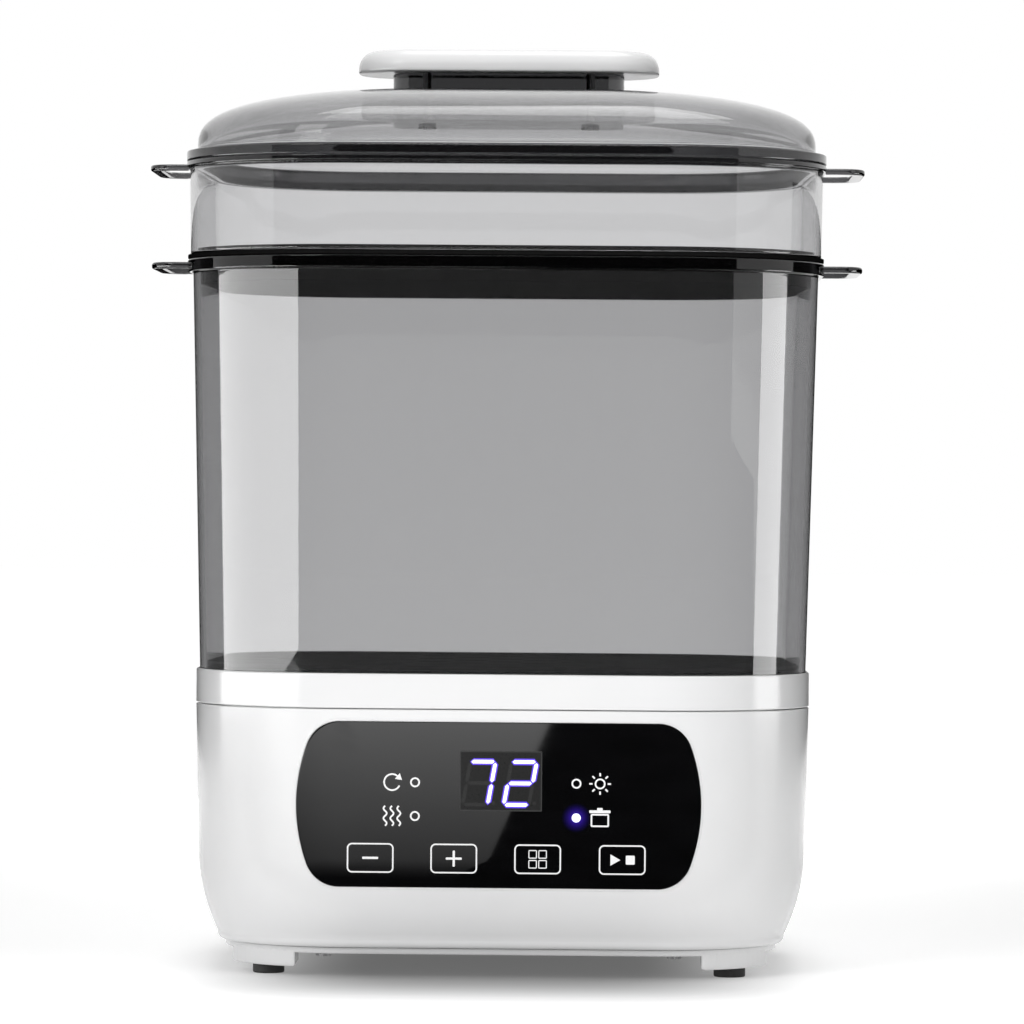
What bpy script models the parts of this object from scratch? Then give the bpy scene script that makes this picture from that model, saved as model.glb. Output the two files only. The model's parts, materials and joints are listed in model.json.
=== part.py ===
"""Steam sterilizer and dryer for feeding bottles, modelled at rest with every tier stacked.

Metres, +Z up, front towards -Y. The origin is on the ground, at the middle of the plan.
"""

import math

import bmesh
import bpy
from mathutils import Matrix, Vector

# Overall stack, from the ground up.
TOTAL_HEIGHT = 0.401
FOOT_HEIGHT = 0.0038
LEG_BOTTOM = 0.0041
PLATE_BOTTOM = 0.0101
SHELL_BOTTOM = 0.0130
SHELL_TOP = 0.1148
RIM_BOTTOM = 0.1153
RIM_TOP = 0.1300
CHAMBER_BOTTOM = 0.1283
CHAMBER_TOP = 0.3071
TRAY_TOP = 0.3092
TIER_BOTTOM = 0.3095
TIER_TOP = 0.3495
LID_BOTTOM = 0.3498
DOME_BOTTOM = 0.3560
DOME_TOP = 0.3840
HANDLE_BOTTOM = 0.3914

# Plan: a rounded rectangle, named by its half width.
BASE_HALF = 0.1331
DEPTH_LESS = 0.0235
CORNER_RADIUS = 0.0680
ARC_STEPS = 7

# Thicknesses and clearances.
WALL = 0.0025
GAP = 0.0003
FLOOR_TOP = 0.1125
FLOOR_BOTTOM = 0.1100

# Sides of the base: a slight draft, and a parabola that rounds the foot of the wall in.
DRAFT = 0.0246
ROUND_FROM = 0.050
ROUNDING = 6.68

# Lid dome: height over its springing = (1 - u ** POWER) ** ROOT.
DOME_HALF = 0.1343
DOME_POWER = 2.5
DOME_ROOT = 0.36
DOME_RINGS = 9

# Flanges and side loop handles.
CHAMBER_FLANGE_HALF = 0.1382
CHAMBER_FLANGE_BOTTOM = 0.3017
TIER_FLANGE_HALF = 0.1390
TIER_FLANGE_BOTTOM = 0.3470
CHAMBER_LOOP_OUT = 0.1557
TIER_LOOP_OUT = 0.1565
LOOP_HALF_DEPTH = 0.035
LOOP_CORNER = 0.012
LOOP_BAR = 0.0055

# Oval holes of the rack and the tray: distances between middles, and half sizes.
HOLE_PITCH = (0.031, 0.021)
HOLE_HALF = (0.0085, 0.0042)

# Control panel, centred on the front wall.
PANEL_CENTRE_Z = 0.0746
PANEL_HALF_WIDTH = 0.0861
PANEL_HALF_HEIGHT = 0.0354
PANEL_CORNER = 0.015
PANEL_END_RADIUS = 0.075

# Lid handle.
HANDLE_HALF = (0.0663, 0.028)
HANDLE_CORNER = 0.024
PEDESTAL_HALF = (0.0509, 0.020)
PEDESTAL_CORNER = 0.013
LID_SCREW_X = 0.036

# Heating pan and what hangs under it.
PAN_CENTRE = (0.0, -0.005)
PAN_HOLE = 0.050

# Blower, with its axis along Y, and the air path up from it.
FAN_CENTRE = (-0.045, 0.080, 0.056)
SCROLL_RADIUS = 0.032
SCROLL_WALL = 0.0016
SCROLL_HALF_DEPTH = 0.014
DUCT_CENTRE = (-0.065, 0.080)
DUCT_HALF = (0.012, 0.014)
DUCT_WALL = 0.0015
FILTER_HALF = (0.030, 0.024)
GLAND_CENTRE = (0.055, 0.065)


# ---------------------------------------------------------------- tools

def clear_scene():
    for obj in list(bpy.data.objects):
        bpy.data.objects.remove(obj)


def material(name, colour, roughness, metallic=0.0, transmission=0.0):
    """A Principled material, made once and shared by its name."""
    if name in bpy.data.materials:
        return bpy.data.materials[name]
    made = bpy.data.materials.new(name)
    made.use_nodes = True
    shader = made.node_tree.nodes["Principled BSDF"]
    shader.inputs["Base Color"].default_value = (*colour, 1.0)
    shader.inputs["Roughness"].default_value = roughness
    shader.inputs["Metallic"].default_value = metallic
    shader.inputs["Transmission Weight"].default_value = transmission
    made.diffuse_color = (*colour, 1.0)
    return made


def white_plastic():
    return material("white_plastic", (0.86, 0.86, 0.86), 0.18)


def smoked_plastic():
    return material("smoked_plastic", (0.20, 0.20, 0.21), 0.06, transmission=0.8)


def black_plastic():
    return material("black_plastic", (0.03, 0.03, 0.03), 0.30)


def panel_plastic():
    return material("panel_plastic", (0.01, 0.01, 0.012), 0.08)


def rubber():
    return material("rubber", (0.02, 0.02, 0.02), 0.70)


def board_laminate():
    return material("board_laminate", (0.02, 0.16, 0.07), 0.45)


def bare_steel():
    return material("bare_steel", (0.60, 0.60, 0.60), 0.30, metallic=1.0)


def coated_steel():
    return material("coated_steel", (0.30, 0.30, 0.31), 0.35, metallic=0.8)


def filter_foam():
    return material("filter_foam", (0.55, 0.57, 0.58), 0.90)


def lamp_lens():
    return material("lamp_lens", (0.85, 0.87, 0.95), 0.15)


def rounded_plan(half_x, half_y, radius, steps=ARC_STEPS):
    """Points round a rounded rectangle, anticlockwise from the +X side."""
    points = []
    for quarter in range(4):
        side_x = 1 if quarter in (0, 3) else -1
        side_y = 1 if quarter in (0, 1) else -1
        for step in range(steps + 1):
            turn = math.radians(90 * quarter + 90 * step / steps)
            x = side_x * (half_x - radius) + radius * math.cos(turn)
            y = side_y * (half_y - radius) + radius * math.sin(turn)
            points.append((x, y))
    return points


def body_plan(half_width):
    """The plan of the product at one half width: its depth and corners follow the width."""
    radius = CORNER_RADIUS + half_width - BASE_HALF
    return rounded_plan(half_width, half_width - DEPTH_LESS, radius)


def dome_plan(share):
    """The plan of the dome at a share of its full size."""
    radius = CORNER_RADIUS + DOME_HALF - BASE_HALF
    half_depth = DOME_HALF - DEPTH_LESS
    return rounded_plan(share * DOME_HALF, share * half_depth, share * radius)


def at_height(plan, z):
    return [(x, y, z) for x, y in plan]


def circle(radius, count, centre=(0.0, 0.0)):
    turns = [2 * math.pi * i / count for i in range(count)]
    return [(centre[0] + radius * math.cos(t), centre[1] + radius * math.sin(t)) for t in turns]


def loft(name, loops, look, ring=False):
    """One closed solid through loops of equal length: capped at both ends, or closed on itself."""
    mesh = bpy.data.meshes.new(name)
    work = bmesh.new()
    rows = [[work.verts.new(point) for point in loop] for loop in loops]
    pairs = list(zip(rows, rows[1:]))
    if ring:
        pairs.append((rows[-1], rows[0]))
    else:
        work.faces.new(rows[0])
        work.faces.new(rows[-1])
    for lower, upper in pairs:
        for i in range(len(lower)):
            j = (i + 1) % len(lower)
            work.faces.new((lower[i], lower[j], upper[j], upper[i]))
    bmesh.ops.recalc_face_normals(work, faces=work.faces)
    work.to_mesh(mesh)
    work.free()
    return add_object(name, mesh, look)


def add_object(name, mesh, look):
    made = bpy.data.objects.new(name, mesh)
    bpy.context.scene.collection.objects.link(made)
    if look:
        mesh.materials.append(look)
    mesh.shade_smooth()
    mesh.set_sharp_from_angle(angle=math.radians(35))
    return made


def prism(name, plan, low, high, look=None):
    return loft(name, [at_height(plan, low), at_height(plan, high)], look)


def box(name, low, high, look=None):
    plan = [(low[0], low[1]), (high[0], low[1]), (high[0], high[1]), (low[0], high[1])]
    return prism(name, plan, low[2], high[2], look)


def merged(name, solids):
    """Several separate solids as one object, for use as one helper."""
    work = bmesh.new()
    for solid in solids:
        piece = solid.data
        piece.transform(solid.matrix_basis)
        work.from_mesh(piece)
        bpy.data.objects.remove(solid)
    mesh = bpy.data.meshes.new(name)
    work.to_mesh(mesh)
    work.free()
    return add_object(name, mesh, None)


def turned(name, profile, centre, look, ring=False, count=32):
    """A solid of revolution about Z through centre, from (radius, height) pairs."""
    loops = [at_height(circle(radius, count, centre), z) for radius, z in profile]
    return loft(name, loops, look, ring)


def facing_rear(solid, centre):
    """Turns a solid made about Z at the origin so that its axis runs along +Y, and places it."""
    solid.data.transform(Matrix.Rotation(math.radians(-90), 4, "X"))
    solid.data.transform(Matrix.Translation(Vector(centre)))
    return solid


def helper(solid):
    solid.hide_render = True
    solid.display_type = "WIRE"
    return solid


def combine(target, other, operation):
    """Joins, cuts or keeps what is common, with other as a hidden helper."""
    helper(other)
    modifier = target.modifiers.new(operation.lower(), "BOOLEAN")
    modifier.operation = operation
    modifier.solver = "EXACT"
    modifier.object = other


def set_origin(solid, point):
    solid.data.transform(Matrix.Translation(-Vector(point)))
    solid.location = point


# ---------------------------------------------------------------- base

def side_inset(z):
    """How far the outer face of the base stands inside its rim at height z."""
    below = max(ROUND_FROM - z, 0.0)
    return DRAFT * (RIM_BOTTOM - z) + ROUNDING * below ** 2


def base_wall(name, look):
    """The tapering wall of the base, open at the top and at the bottom."""
    straight = [SHELL_TOP, 0.100, 0.075]
    count = 9
    rounded = [ROUND_FROM + (SHELL_BOTTOM - ROUND_FROM) * i / count for i in range(count + 1)]
    heights = straight + rounded
    outer = [(BASE_HALF - side_inset(z), z) for z in heights]
    inner = [(half - WALL, z) for half, z in reversed(outer)]
    loops = [at_height(body_plan(half), z) for half, z in outer + inner]
    return loft(name, loops, look, ring=True)


def panel_outline(less=0.0):
    """A rectangle with round corners and bowed ends, smaller by less, round its own centre."""
    half_width = PANEL_HALF_WIDTH - less
    half_height = PANEL_HALF_HEIGHT - less
    corner = PANEL_CORNER - less
    end = PANEL_END_RADIUS - less
    rise = half_height - corner
    tangent = math.asin(rise / (end - corner))
    corner_x = half_width - end + (end - corner) * math.cos(tangent)
    quarter = []
    for step in range(4):
        turn = tangent * step / 4
        quarter.append((half_width - end + end * math.cos(turn), end * math.sin(turn)))
    for step in range(7):
        turn = tangent + (math.pi / 2 - tangent) * step / 6
        quarter.append((corner_x + corner * math.cos(turn), rise + corner * math.sin(turn)))
    left = [(-x, z) for x, z in reversed(quarter)]
    upper = quarter + left
    lower = [(-x, -z) for x, z in upper[1:-1]]
    return upper + lower


def front_prism(name, outline, centre, near, far):
    """An outline in XZ, pushed along Y from near to far."""
    loops = []
    for y in (near, far):
        loops.append([(centre[0] + x, y, centre[1] + z) for x, z in outline])
    return loft(name, loops, None)


def filter_outline(less=0.0):
    return rounded_plan(FILTER_HALF[0] - less, FILTER_HALF[1] - less, 0.004 - less, 3)


def make_base_shell():
    shell = base_wall("base_shell", white_plastic())
    panel_at = (0.0, PANEL_CENTRE_Z)
    window = front_prism("panel_window_cut", panel_outline(), panel_at, -0.125, -0.085)
    combine(shell, window, "DIFFERENCE")
    filter_at = (FAN_CENTRE[0], FAN_CENTRE[2])
    opening = front_prism("filter_opening_cut", filter_outline(), filter_at, 0.085, 0.125)
    combine(shell, opening, "DIFFERENCE")
    hole = front_prism("gland_hole_cut", circle(0.0068, 20), GLAND_CENTRE, 0.085, 0.125)
    combine(shell, hole, "DIFFERENCE")
    return shell


def make_control_panel():
    panel = base_wall("control_panel", panel_plastic())
    panel_at = (0.0, PANEL_CENTRE_Z)
    keep = front_prism("panel_keep", panel_outline(GAP), panel_at, -0.125, -0.085)
    combine(panel, keep, "INTERSECT")
    return panel


def make_top_cover():
    """The moulding on top of the base: rim, groove for the chamber, tray and air outlet curb."""
    spigot = 0.1300
    groove = (0.1319, 0.1285)
    tray_half = 0.1241
    profile = [
        (spigot, FLOOR_BOTTOM),
        (spigot, RIM_BOTTOM),
        (BASE_HALF, RIM_BOTTOM),
        (BASE_HALF, RIM_TOP - 0.0008),
        (BASE_HALF - 0.0007, RIM_TOP),
        (groove[0], RIM_TOP),
        (groove[0], CHAMBER_BOTTOM - GAP),
        (groove[1], CHAMBER_BOTTOM - GAP),
        (groove[1], RIM_TOP),
        (tray_half, RIM_TOP),
        (tray_half, FLOOR_TOP),
    ]
    loops = [at_height(body_plan(half), z) for half, z in profile]
    cover = loft("base_top_cover", loops, white_plastic())
    x, y = DUCT_CENTRE
    out_x, out_y = DUCT_HALF
    in_x, in_y = out_x - DUCT_WALL, out_y - DUCT_WALL
    curb = box("curb", (x - out_x, y - out_y, 0.1112), (x + out_x, y + out_y, 0.1200))
    combine(cover, curb, "UNION")
    outlet = box("outlet_cut", (x - in_x, y - in_y, 0.105), (x + in_x, y + in_y, 0.125))
    combine(cover, outlet, "DIFFERENCE")
    hole = prism("pan_hole_cut", circle(PAN_HOLE, 48, PAN_CENTRE), 0.105, 0.120)
    combine(cover, hole, "DIFFERENCE")


def make_bottom_cover():
    """The floor of the base, with a leg at each corner."""
    half = BASE_HALF - 0.0136
    plan = body_plan(half)
    cover = prism("bottom_cover", plan, LEG_BOTTOM, SHELL_BOTTOM - GAP, white_plastic())
    gap_x, gap_y, reach = 0.0866, 0.062, 0.2
    front_gap = box("front_gap_cut", (-gap_x, -reach, -0.01), (gap_x, reach, PLATE_BOTTOM))
    side_gap = box("side_gap_cut", (-reach, -gap_y, -0.01), (reach, gap_y, PLATE_BOTTOM))
    combine(cover, front_gap, "DIFFERENCE")
    combine(cover, side_gap, "DIFFERENCE")
    holes = []
    for x, y in corners(0.075, 0.080):
        holes.append(prism("hole", circle(0.0020, 12, (x, y)), 0.005, 0.020))
    combine(cover, merged("screw_hole_cut", holes), "DIFFERENCE")


def corners(x, y):
    return [(x, y), (-x, y), (-x, -y), (x, -y)]


def make_feet():
    names = ("rear_right", "rear_left", "front_left", "front_right")
    radius, rounding = 0.0068, 0.0008
    for name, centre in zip(names, corners(0.099, 0.072)):
        profile = [(radius - rounding, 0.0), (radius, rounding), (radius, FOOT_HEIGHT)]
        turned("rubber_foot_" + name, profile, centre, rubber(), count=24)


def make_base_screws():
    head_bottom, head_top = PLATE_BOTTOM - 0.0020, PLATE_BOTTOM - GAP
    profile = [(0.0034, head_bottom), (0.0034, head_top), (0.0016, head_top), (0.0016, 0.0180)]
    for i, centre in enumerate(corners(0.075, 0.080), 1):
        turned(f"base_screw_{i}", profile, centre, bare_steel(), count=12)


# ---------------------------------------------------------------- inside the base

def make_heating_pan():
    profile = [
        (0.0460, 0.0960),
        (0.0495, 0.0980),
        (0.0500, 0.1056),
        (0.0580, 0.1056),
        (0.0580, 0.1079),
        (0.0492, 0.1079),
        (0.0477, 0.0985),
        (0.0450, 0.0980),
    ]
    turned("heating_plate", profile, PAN_CENTRE, coated_steel(), count=48)
    seal = [(0.0508, 0.1082), (0.0575, 0.1082), (0.0575, 0.1097), (0.0508, 0.1097)]
    turned("heating_plate_gasket", seal, PAN_CENTRE, rubber(), ring=True, count=48)


def make_pan_screws():
    profile = [(0.0028, 0.1030), (0.0028, 0.1053)]
    for i, centre in enumerate(circle(0.0543, 3, PAN_CENTRE), 1):
        turned(f"heating_plate_screw_{i}", profile, centre, bare_steel(), count=12)


def make_heater_element():
    """A tube bent into most of a ring, with its two ends turned down."""
    ring_radius, tube, centre_z, legs_z = 0.036, 0.0038, 0.0916, 0.0740
    first, last, count = math.radians(-70), math.radians(250), 28
    path = []
    for i in range(count + 1):
        turn = first + (last - first) * i / count
        x = PAN_CENTRE[0] + ring_radius * math.cos(turn)
        y = PAN_CENTRE[1] + ring_radius * math.sin(turn)
        drop = 0.0030 if i in (0, count) else 0.0
        path.append((x, y, centre_z - drop))
    path.insert(0, (path[0][0], path[0][1], legs_z))
    path.append((path[-1][0], path[-1][1], legs_z))
    curve = bpy.data.curves.new("heater_element", "CURVE")
    curve.dimensions = "3D"
    curve.bevel_depth = tube
    curve.bevel_resolution = 2
    curve.use_fill_caps = True
    spline = curve.splines.new("POLY")
    spline.points.add(len(path) - 1)
    for point, place in zip(spline.points, path):
        point.co = (*place, 1.0)
    curve.materials.append(bare_steel())
    bpy.context.scene.collection.objects.link(bpy.data.objects.new("heater_element", curve))


def make_thermal_controls():
    top = 0.0957
    body = [(0.0062, 0.0850), (0.0062, 0.0925), (0.0085, 0.0925), (0.0085, top)]
    turned("thermostat", body, PAN_CENTRE, bare_steel(), count=20)
    fuse = [(0.0022, -0.0075), (0.0022, 0.0075)]
    made = turned("thermal_fuse", fuse, (0.0, 0.0), bare_steel(), count=12)
    facing_rear(made, (PAN_CENTRE[0] + 0.018, PAN_CENTRE[1], top - 0.0022))


def make_fan_housing():
    x, y, z = FAN_CENTRE
    half = SCROLL_HALF_DEPTH
    outer = [(SCROLL_RADIUS, -half), (SCROLL_RADIUS, half)]
    housing = facing_rear(
        turned("fan_housing", outer, (0.0, 0.0), black_plastic(), count=36), FAN_CENTRE
    )
    side = x - SCROLL_RADIUS
    width = 2 * DUCT_HALF[0]
    spout = box("spout", (side, y - half, z), (side + width, y + half, z + SCROLL_RADIUS))
    combine(housing, spout, "UNION")
    inner_radius, inner_half = SCROLL_RADIUS - SCROLL_WALL, half - SCROLL_WALL
    inner = [(inner_radius, -inner_half), (inner_radius, inner_half)]
    hollow = facing_rear(turned("scroll_cut", inner, (0.0, 0.0), None, count=36), FAN_CENTRE)
    combine(housing, hollow, "DIFFERENCE")
    throat = box(
        "throat_cut",
        (side + SCROLL_WALL, y - inner_half, z),
        (side + width - SCROLL_WALL, y + inner_half, z + SCROLL_RADIUS + 0.002),
    )
    combine(housing, throat, "DIFFERENCE")
    for name, radius, start, end in (
        ("inlet_cut", 0.019, 0.0, half + 0.002),
        ("shaft_cut", 0.004, -half - 0.002, 0.0),
    ):
        hole = turned(name, [(radius, start), (radius, end)], (0.0, 0.0), None, count=28)
        combine(housing, facing_rear(hole, FAN_CENTRE), "DIFFERENCE")


def make_fan_motor():
    profile = [
        (0.0120, -0.0400),
        (0.0150, -0.0375),
        (0.0150, -0.0145),
        (0.0015, -0.0145),
        (0.0015, -0.0020),
    ]
    motor = turned("fan_motor", profile, (0.0, 0.0), coated_steel(), count=28)
    facing_rear(motor, FAN_CENTRE)


def make_fan_impeller():
    """A paddle wheel: straight blades on a hub, against a back disc."""
    blades, hub, tip, half_blade = 14, 0.0080, 0.0262, 0.0006
    plan = []
    for i in range(blades):
        middle = 2 * math.pi * i / blades
        for radius, side in ((hub, -1), (tip, -1), (tip, 1), (hub, 1)):
            turn = middle + side * half_blade / radius
            plan.append((radius * math.cos(turn), radius * math.sin(turn)))
    wheel = prism("fan_impeller", plan, -0.0095, 0.0095, black_plastic())
    facing_rear(wheel, (0.0, 0.0, 0.0))
    wheel.location = FAN_CENTRE
    disc = turned("impeller_disc", [(0.0275, -0.0105), (0.0275, -0.0085)], (0.0, 0.0), None)
    combine(wheel, facing_rear(disc, FAN_CENTRE), "UNION")
    bore = turned("impeller_bore_cut", [(0.0018, -0.0120), (0.0018, -0.0010)], (0.0, 0.0), None)
    combine(wheel, facing_rear(bore, FAN_CENTRE), "DIFFERENCE")


def make_air_path():
    x, y = DUCT_CENTRE
    out_x, out_y = DUCT_HALF
    low = FAN_CENTRE[2] + SCROLL_RADIUS + GAP
    high = FLOOR_BOTTOM - GAP
    outer = rounded_plan(out_x, out_y, 0.001, 1)
    inner = rounded_plan(out_x - DUCT_WALL, out_y - DUCT_WALL, 0.0005, 1)
    outer = [(x + px, y + py) for px, py in outer]
    inner = [(x + px, y + py) for px, py in inner]
    loops = [at_height(outer, low), at_height(outer, high)]
    loops += [at_height(inner, high), at_height(inner, low)]
    loft("air_duct", loops, black_plastic(), ring=True)
    half_x, half_y = 0.0102, 0.0122
    heater = box(
        "air_heater", (x - half_x, y - half_y, 0.0930), (x + half_x, y + half_y, 0.1050), bare_steel()
    )
    slots = []
    for i in range(5):
        middle = x + 0.0036 * (i - 2)
        slots.append(box("slot", (middle - 0.001, y - 0.011, 0.09), (middle + 0.001, y + 0.011, 0.11)))
    combine(heater, merged("heater_slot_cut", slots), "DIFFERENCE")


def make_outlet_cap():
    x, y = DUCT_CENTRE
    half_x, half_y, low, high = 0.0150, 0.0170, FLOOR_TOP + GAP, 0.1250
    wall, roof = 0.0022, 0.0018
    cap = box(
        "air_outlet_cap", (x - half_x, y - half_y, low), (x + half_x, y + half_y, high), white_plastic()
    )
    inner_x, inner_y = half_x - wall, half_y - wall
    inside = box(
        "cap_inside_cut", (x - inner_x, y - inner_y, 0.1), (x + inner_x, y + inner_y, high - roof)
    )
    combine(cap, inside, "DIFFERENCE")
    ends = box("cap_ends_cut", (x - 0.03, y - 0.012, 0.1), (x + 0.03, y + 0.012, 0.1215))
    combine(cap, ends, "DIFFERENCE")
    sides = box("cap_sides_cut", (x - 0.010, y - 0.03, 0.1), (x + 0.010, y + 0.03, 0.1215))
    combine(cap, sides, "DIFFERENCE")


def make_filter():
    cover = base_wall("filter_cover", white_plastic())
    filter_at = (FAN_CENTRE[0], FAN_CENTRE[2])
    keep = front_prism("filter_keep", filter_outline(GAP), filter_at, 0.085, 0.125)
    combine(cover, keep, "INTERSECT")
    slots = []
    for i in range(5):
        slot = front_prism(
            "slot", rounded_plan(0.024, 0.0016, 0.0015, 2), (FAN_CENTRE[0], FAN_CENTRE[2] + 0.008 * (i - 2)),
            0.085, 0.125,
        )
        slots.append(slot)
    combine(cover, merged("filter_slot_cut", slots), "DIFFERENCE")
    x, z = filter_at
    set_origin(cover, (x, 0.1080, z))
    foam = box(
        "air_filter", (x - 0.027, 0.0955, z - 0.020), (x + 0.027, 0.1015, z + 0.020), filter_foam()
    )
    set_origin(foam, (x, 0.0985, z))


def make_cord_gland():
    profile = [
        (0.0090, 0.1020),
        (0.0090, 0.1053),
        (0.0065, 0.1053),
        (0.0065, 0.1090),
        (0.0095, 0.1090),
        (0.0095, 0.1115),
        (0.0052, 0.1120),
        (0.0048, 0.1153),
        (0.0032, 0.1153),
        (0.0032, 0.1020),
    ]
    gland = turned("cord_gland", profile, (0.0, 0.0), rubber(), ring=True, count=20)
    facing_rear(gland, (GLAND_CENTRE[0], 0.0, GLAND_CENTRE[1]))


def make_power_board():
    low, high = (0.015, 0.000, 0.0215), (0.095, 0.070, 0.0231)
    box("power_board", low, high, board_laminate())
    post = [(0.0025, SHELL_BOTTOM), (0.0025, low[2] - GAP)]
    for i, (x, y) in enumerate(corners(0.035, 0.030), 1):
        centre = (x + (low[0] + high[0]) / 2, y + (low[1] + high[1]) / 2)
        turned(f"board_standoff_{i}", post, centre, black_plastic(), count=12)
    seat = high[2] + GAP
    box("power_relay", (0.026, 0.047, seat), (0.045, 0.062, seat + 0.015), black_plastic())
    box("power_transformer", (0.058, 0.033, seat), (0.086, 0.057, seat + 0.022), coated_steel())
    can = [(0.0055, seat), (0.0055, seat + 0.022)]
    turned("filter_capacitor", can, (0.040, 0.018), coated_steel(), count=20)


def make_display():
    front, back = -0.1038, -0.0970
    centre = (0.0, PANEL_CENTRE_Z + 0.0105)
    half_x, half_z = 0.0190, 0.0135
    low = (centre[0] - half_x, front, centre[1] - half_z)
    high = (centre[0] + half_x, back, centre[1] + half_z)
    box("display_module", low, high, panel_plastic())
    board_front, board_back = back + GAP, back + 0.0019
    low = (-0.070, board_front, PANEL_CENTRE_Z - 0.030)
    high = (0.070, board_back, PANEL_CENTRE_Z + 0.030)
    box("display_board", low, high, board_laminate())
    lamps = [(x, z) for x in (-0.0353, 0.0330) for z in (0.0095, -0.0050)]
    for i, (x, z) in enumerate(lamps, 1):
        place = (x, PANEL_CENTRE_Z + z)
        lamp = front_prism(f"indicator_lamp_{i}", circle(0.0015, 10), place, front, back)
        lamp.data.materials.append(lamp_lens())
    for i in range(4):
        place = (-0.0533 + 0.0355 * i, PANEL_CENTRE_Z - 0.0228)
        spring = front_prism(f"touch_spring_{i + 1}", circle(0.0045, 14), place, front, back)
        spring.data.materials.append(bare_steel())
    for side, x in (("left", -0.064), ("right", 0.064)):
        place = (x, PANEL_CENTRE_Z + 0.024)
        name = f"display_board_screw_{side}"
        screw = front_prism(name, circle(0.0026, 10), place, board_back + GAP, board_back + 0.002)
        screw.data.materials.append(bare_steel())


# ---------------------------------------------------------------- tiers and lid

def side_loops(name, inner_x, outer_x, low, high):
    """A flat loop handle on each side, as two solids."""
    outer_half = (outer_x - inner_x) / 2
    outer = rounded_plan(outer_half, LOOP_HALF_DEPTH, min(LOOP_CORNER, outer_half * 0.9), 5)
    inner_half = outer_half - LOOP_BAR
    inner = rounded_plan(inner_half, LOOP_HALF_DEPTH - LOOP_BAR - 0.002, inner_half * 0.8, 5)
    made = []
    for side in (-1, 1):
        centre = side * (inner_x + outer_x) / 2
        outside = [(centre + x, y) for x, y in outer]
        inside = [(centre + x, y) for x, y in inner]
        loops = [at_height(outside, low), at_height(outside, high)]
        loops += [at_height(inside, high), at_height(inside, low)]
        made.append(loft("loop", loops, None, ring=True))
    return merged(name, made)


def make_lower_chamber():
    low_half, high_half = 0.13155, 0.1358
    profile = [
        (low_half, CHAMBER_BOTTOM),
        (high_half, CHAMBER_FLANGE_BOTTOM),
        (CHAMBER_FLANGE_HALF, CHAMBER_FLANGE_BOTTOM),
        (CHAMBER_FLANGE_HALF, CHAMBER_TOP - 0.0007),
        (CHAMBER_FLANGE_HALF - 0.0007, CHAMBER_TOP),
        (high_half - WALL, CHAMBER_TOP),
        (low_half - WALL, CHAMBER_BOTTOM),
    ]
    loops = [at_height(body_plan(half), z) for half, z in profile]
    chamber = loft("lower_chamber", loops, smoked_plastic(), ring=True)
    handles = side_loops("chamber_loops", 0.1350, CHAMBER_LOOP_OUT, 0.3038, 0.3066)
    combine(chamber, handles, "UNION")


def make_upper_tier():
    low_half, high_half = 0.1370, 0.1376
    profile = [
        (low_half, TIER_BOTTOM),
        (high_half, TIER_FLANGE_BOTTOM),
        (TIER_FLANGE_HALF, TIER_FLANGE_BOTTOM),
        (TIER_FLANGE_HALF, TIER_TOP),
        (high_half - WALL, TIER_TOP),
        (low_half - WALL, TIER_BOTTOM),
    ]
    loops = [at_height(body_plan(half), z) for half, z in profile]
    tier = loft("upper_tier", loops, smoked_plastic(), ring=True)
    handles = side_loops("tier_loops", 0.1362, TIER_LOOP_OUT, 0.3466, 0.3492)
    combine(tier, handles, "UNION")


def perforations(name, pitch, slot_half, keep_half, low, high):
    """Staggered rows of oval holes inside a rounded rectangle of the given half width."""
    keep_depth = keep_half - DEPTH_LESS
    corner = CORNER_RADIUS - (BASE_HALF - keep_half)
    holes = []
    rows = int(keep_depth / pitch[1])
    columns = int(keep_half / pitch[0]) + 1
    for row in range(-rows, rows + 1):
        for column in range(-columns, columns + 1):
            x = pitch[0] * (column + 0.5 * (row % 2))
            y = pitch[1] * row
            into_x = max(abs(x) + slot_half[0] - (keep_half - corner), 0.0)
            into_y = max(abs(y) + slot_half[1] - (keep_depth - corner), 0.0)
            if math.hypot(into_x, into_y) > corner:
                continue
            oval = rounded_plan(slot_half[0], slot_half[1], slot_half[1] * 0.98, 1)
            oval = [(x + px, y + py) for px, py in oval]
            holes.append(prism("hole", oval, low, high))
    return merged(name, holes)


def make_bottle_rack():
    outer, inner, low = 0.1285, 0.1265, RIM_TOP + GAP
    plate_bottom, plate_top = low + 0.0011, low + 0.0031
    profile = [
        (inner, plate_bottom),
        (inner, low),
        (outer, low),
        (outer, plate_top - 0.0005),
        (outer - 0.0005, plate_top),
    ]
    loops = [at_height(body_plan(half), z) for half, z in profile]
    rack = loft("bottle_rack", loops, black_plastic())
    holes = perforations("rack_hole_cut", HOLE_PITCH, HOLE_HALF, 0.122, 0.125, 0.140)
    combine(rack, holes, "DIFFERENCE")


def make_middle_tray():
    skirt_in, skirt_out, skirt_bottom = 0.1308, 0.1326, 0.2964
    plate_bottom = TRAY_TOP - 0.0023
    profile = [
        (skirt_in, plate_bottom),
        (skirt_in, skirt_bottom),
        (skirt_out, skirt_bottom),
        (skirt_out, CHAMBER_TOP + GAP),
        (CHAMBER_FLANGE_HALF, CHAMBER_TOP + GAP),
        (CHAMBER_FLANGE_HALF, TRAY_TOP),
        (0.1341, TRAY_TOP),
        (0.1341, TRAY_TOP + 0.0024),
        (0.1324, TRAY_TOP + 0.0024),
        (0.1324, TRAY_TOP),
    ]
    loops = [at_height(body_plan(half), z) for half, z in profile]
    tray = loft("middle_tray", loops, black_plastic())
    holes = perforations("tray_hole_cut", HOLE_PITCH, HOLE_HALF, 0.124, 0.300, 0.315)
    combine(tray, holes, "DIFFERENCE")


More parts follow.
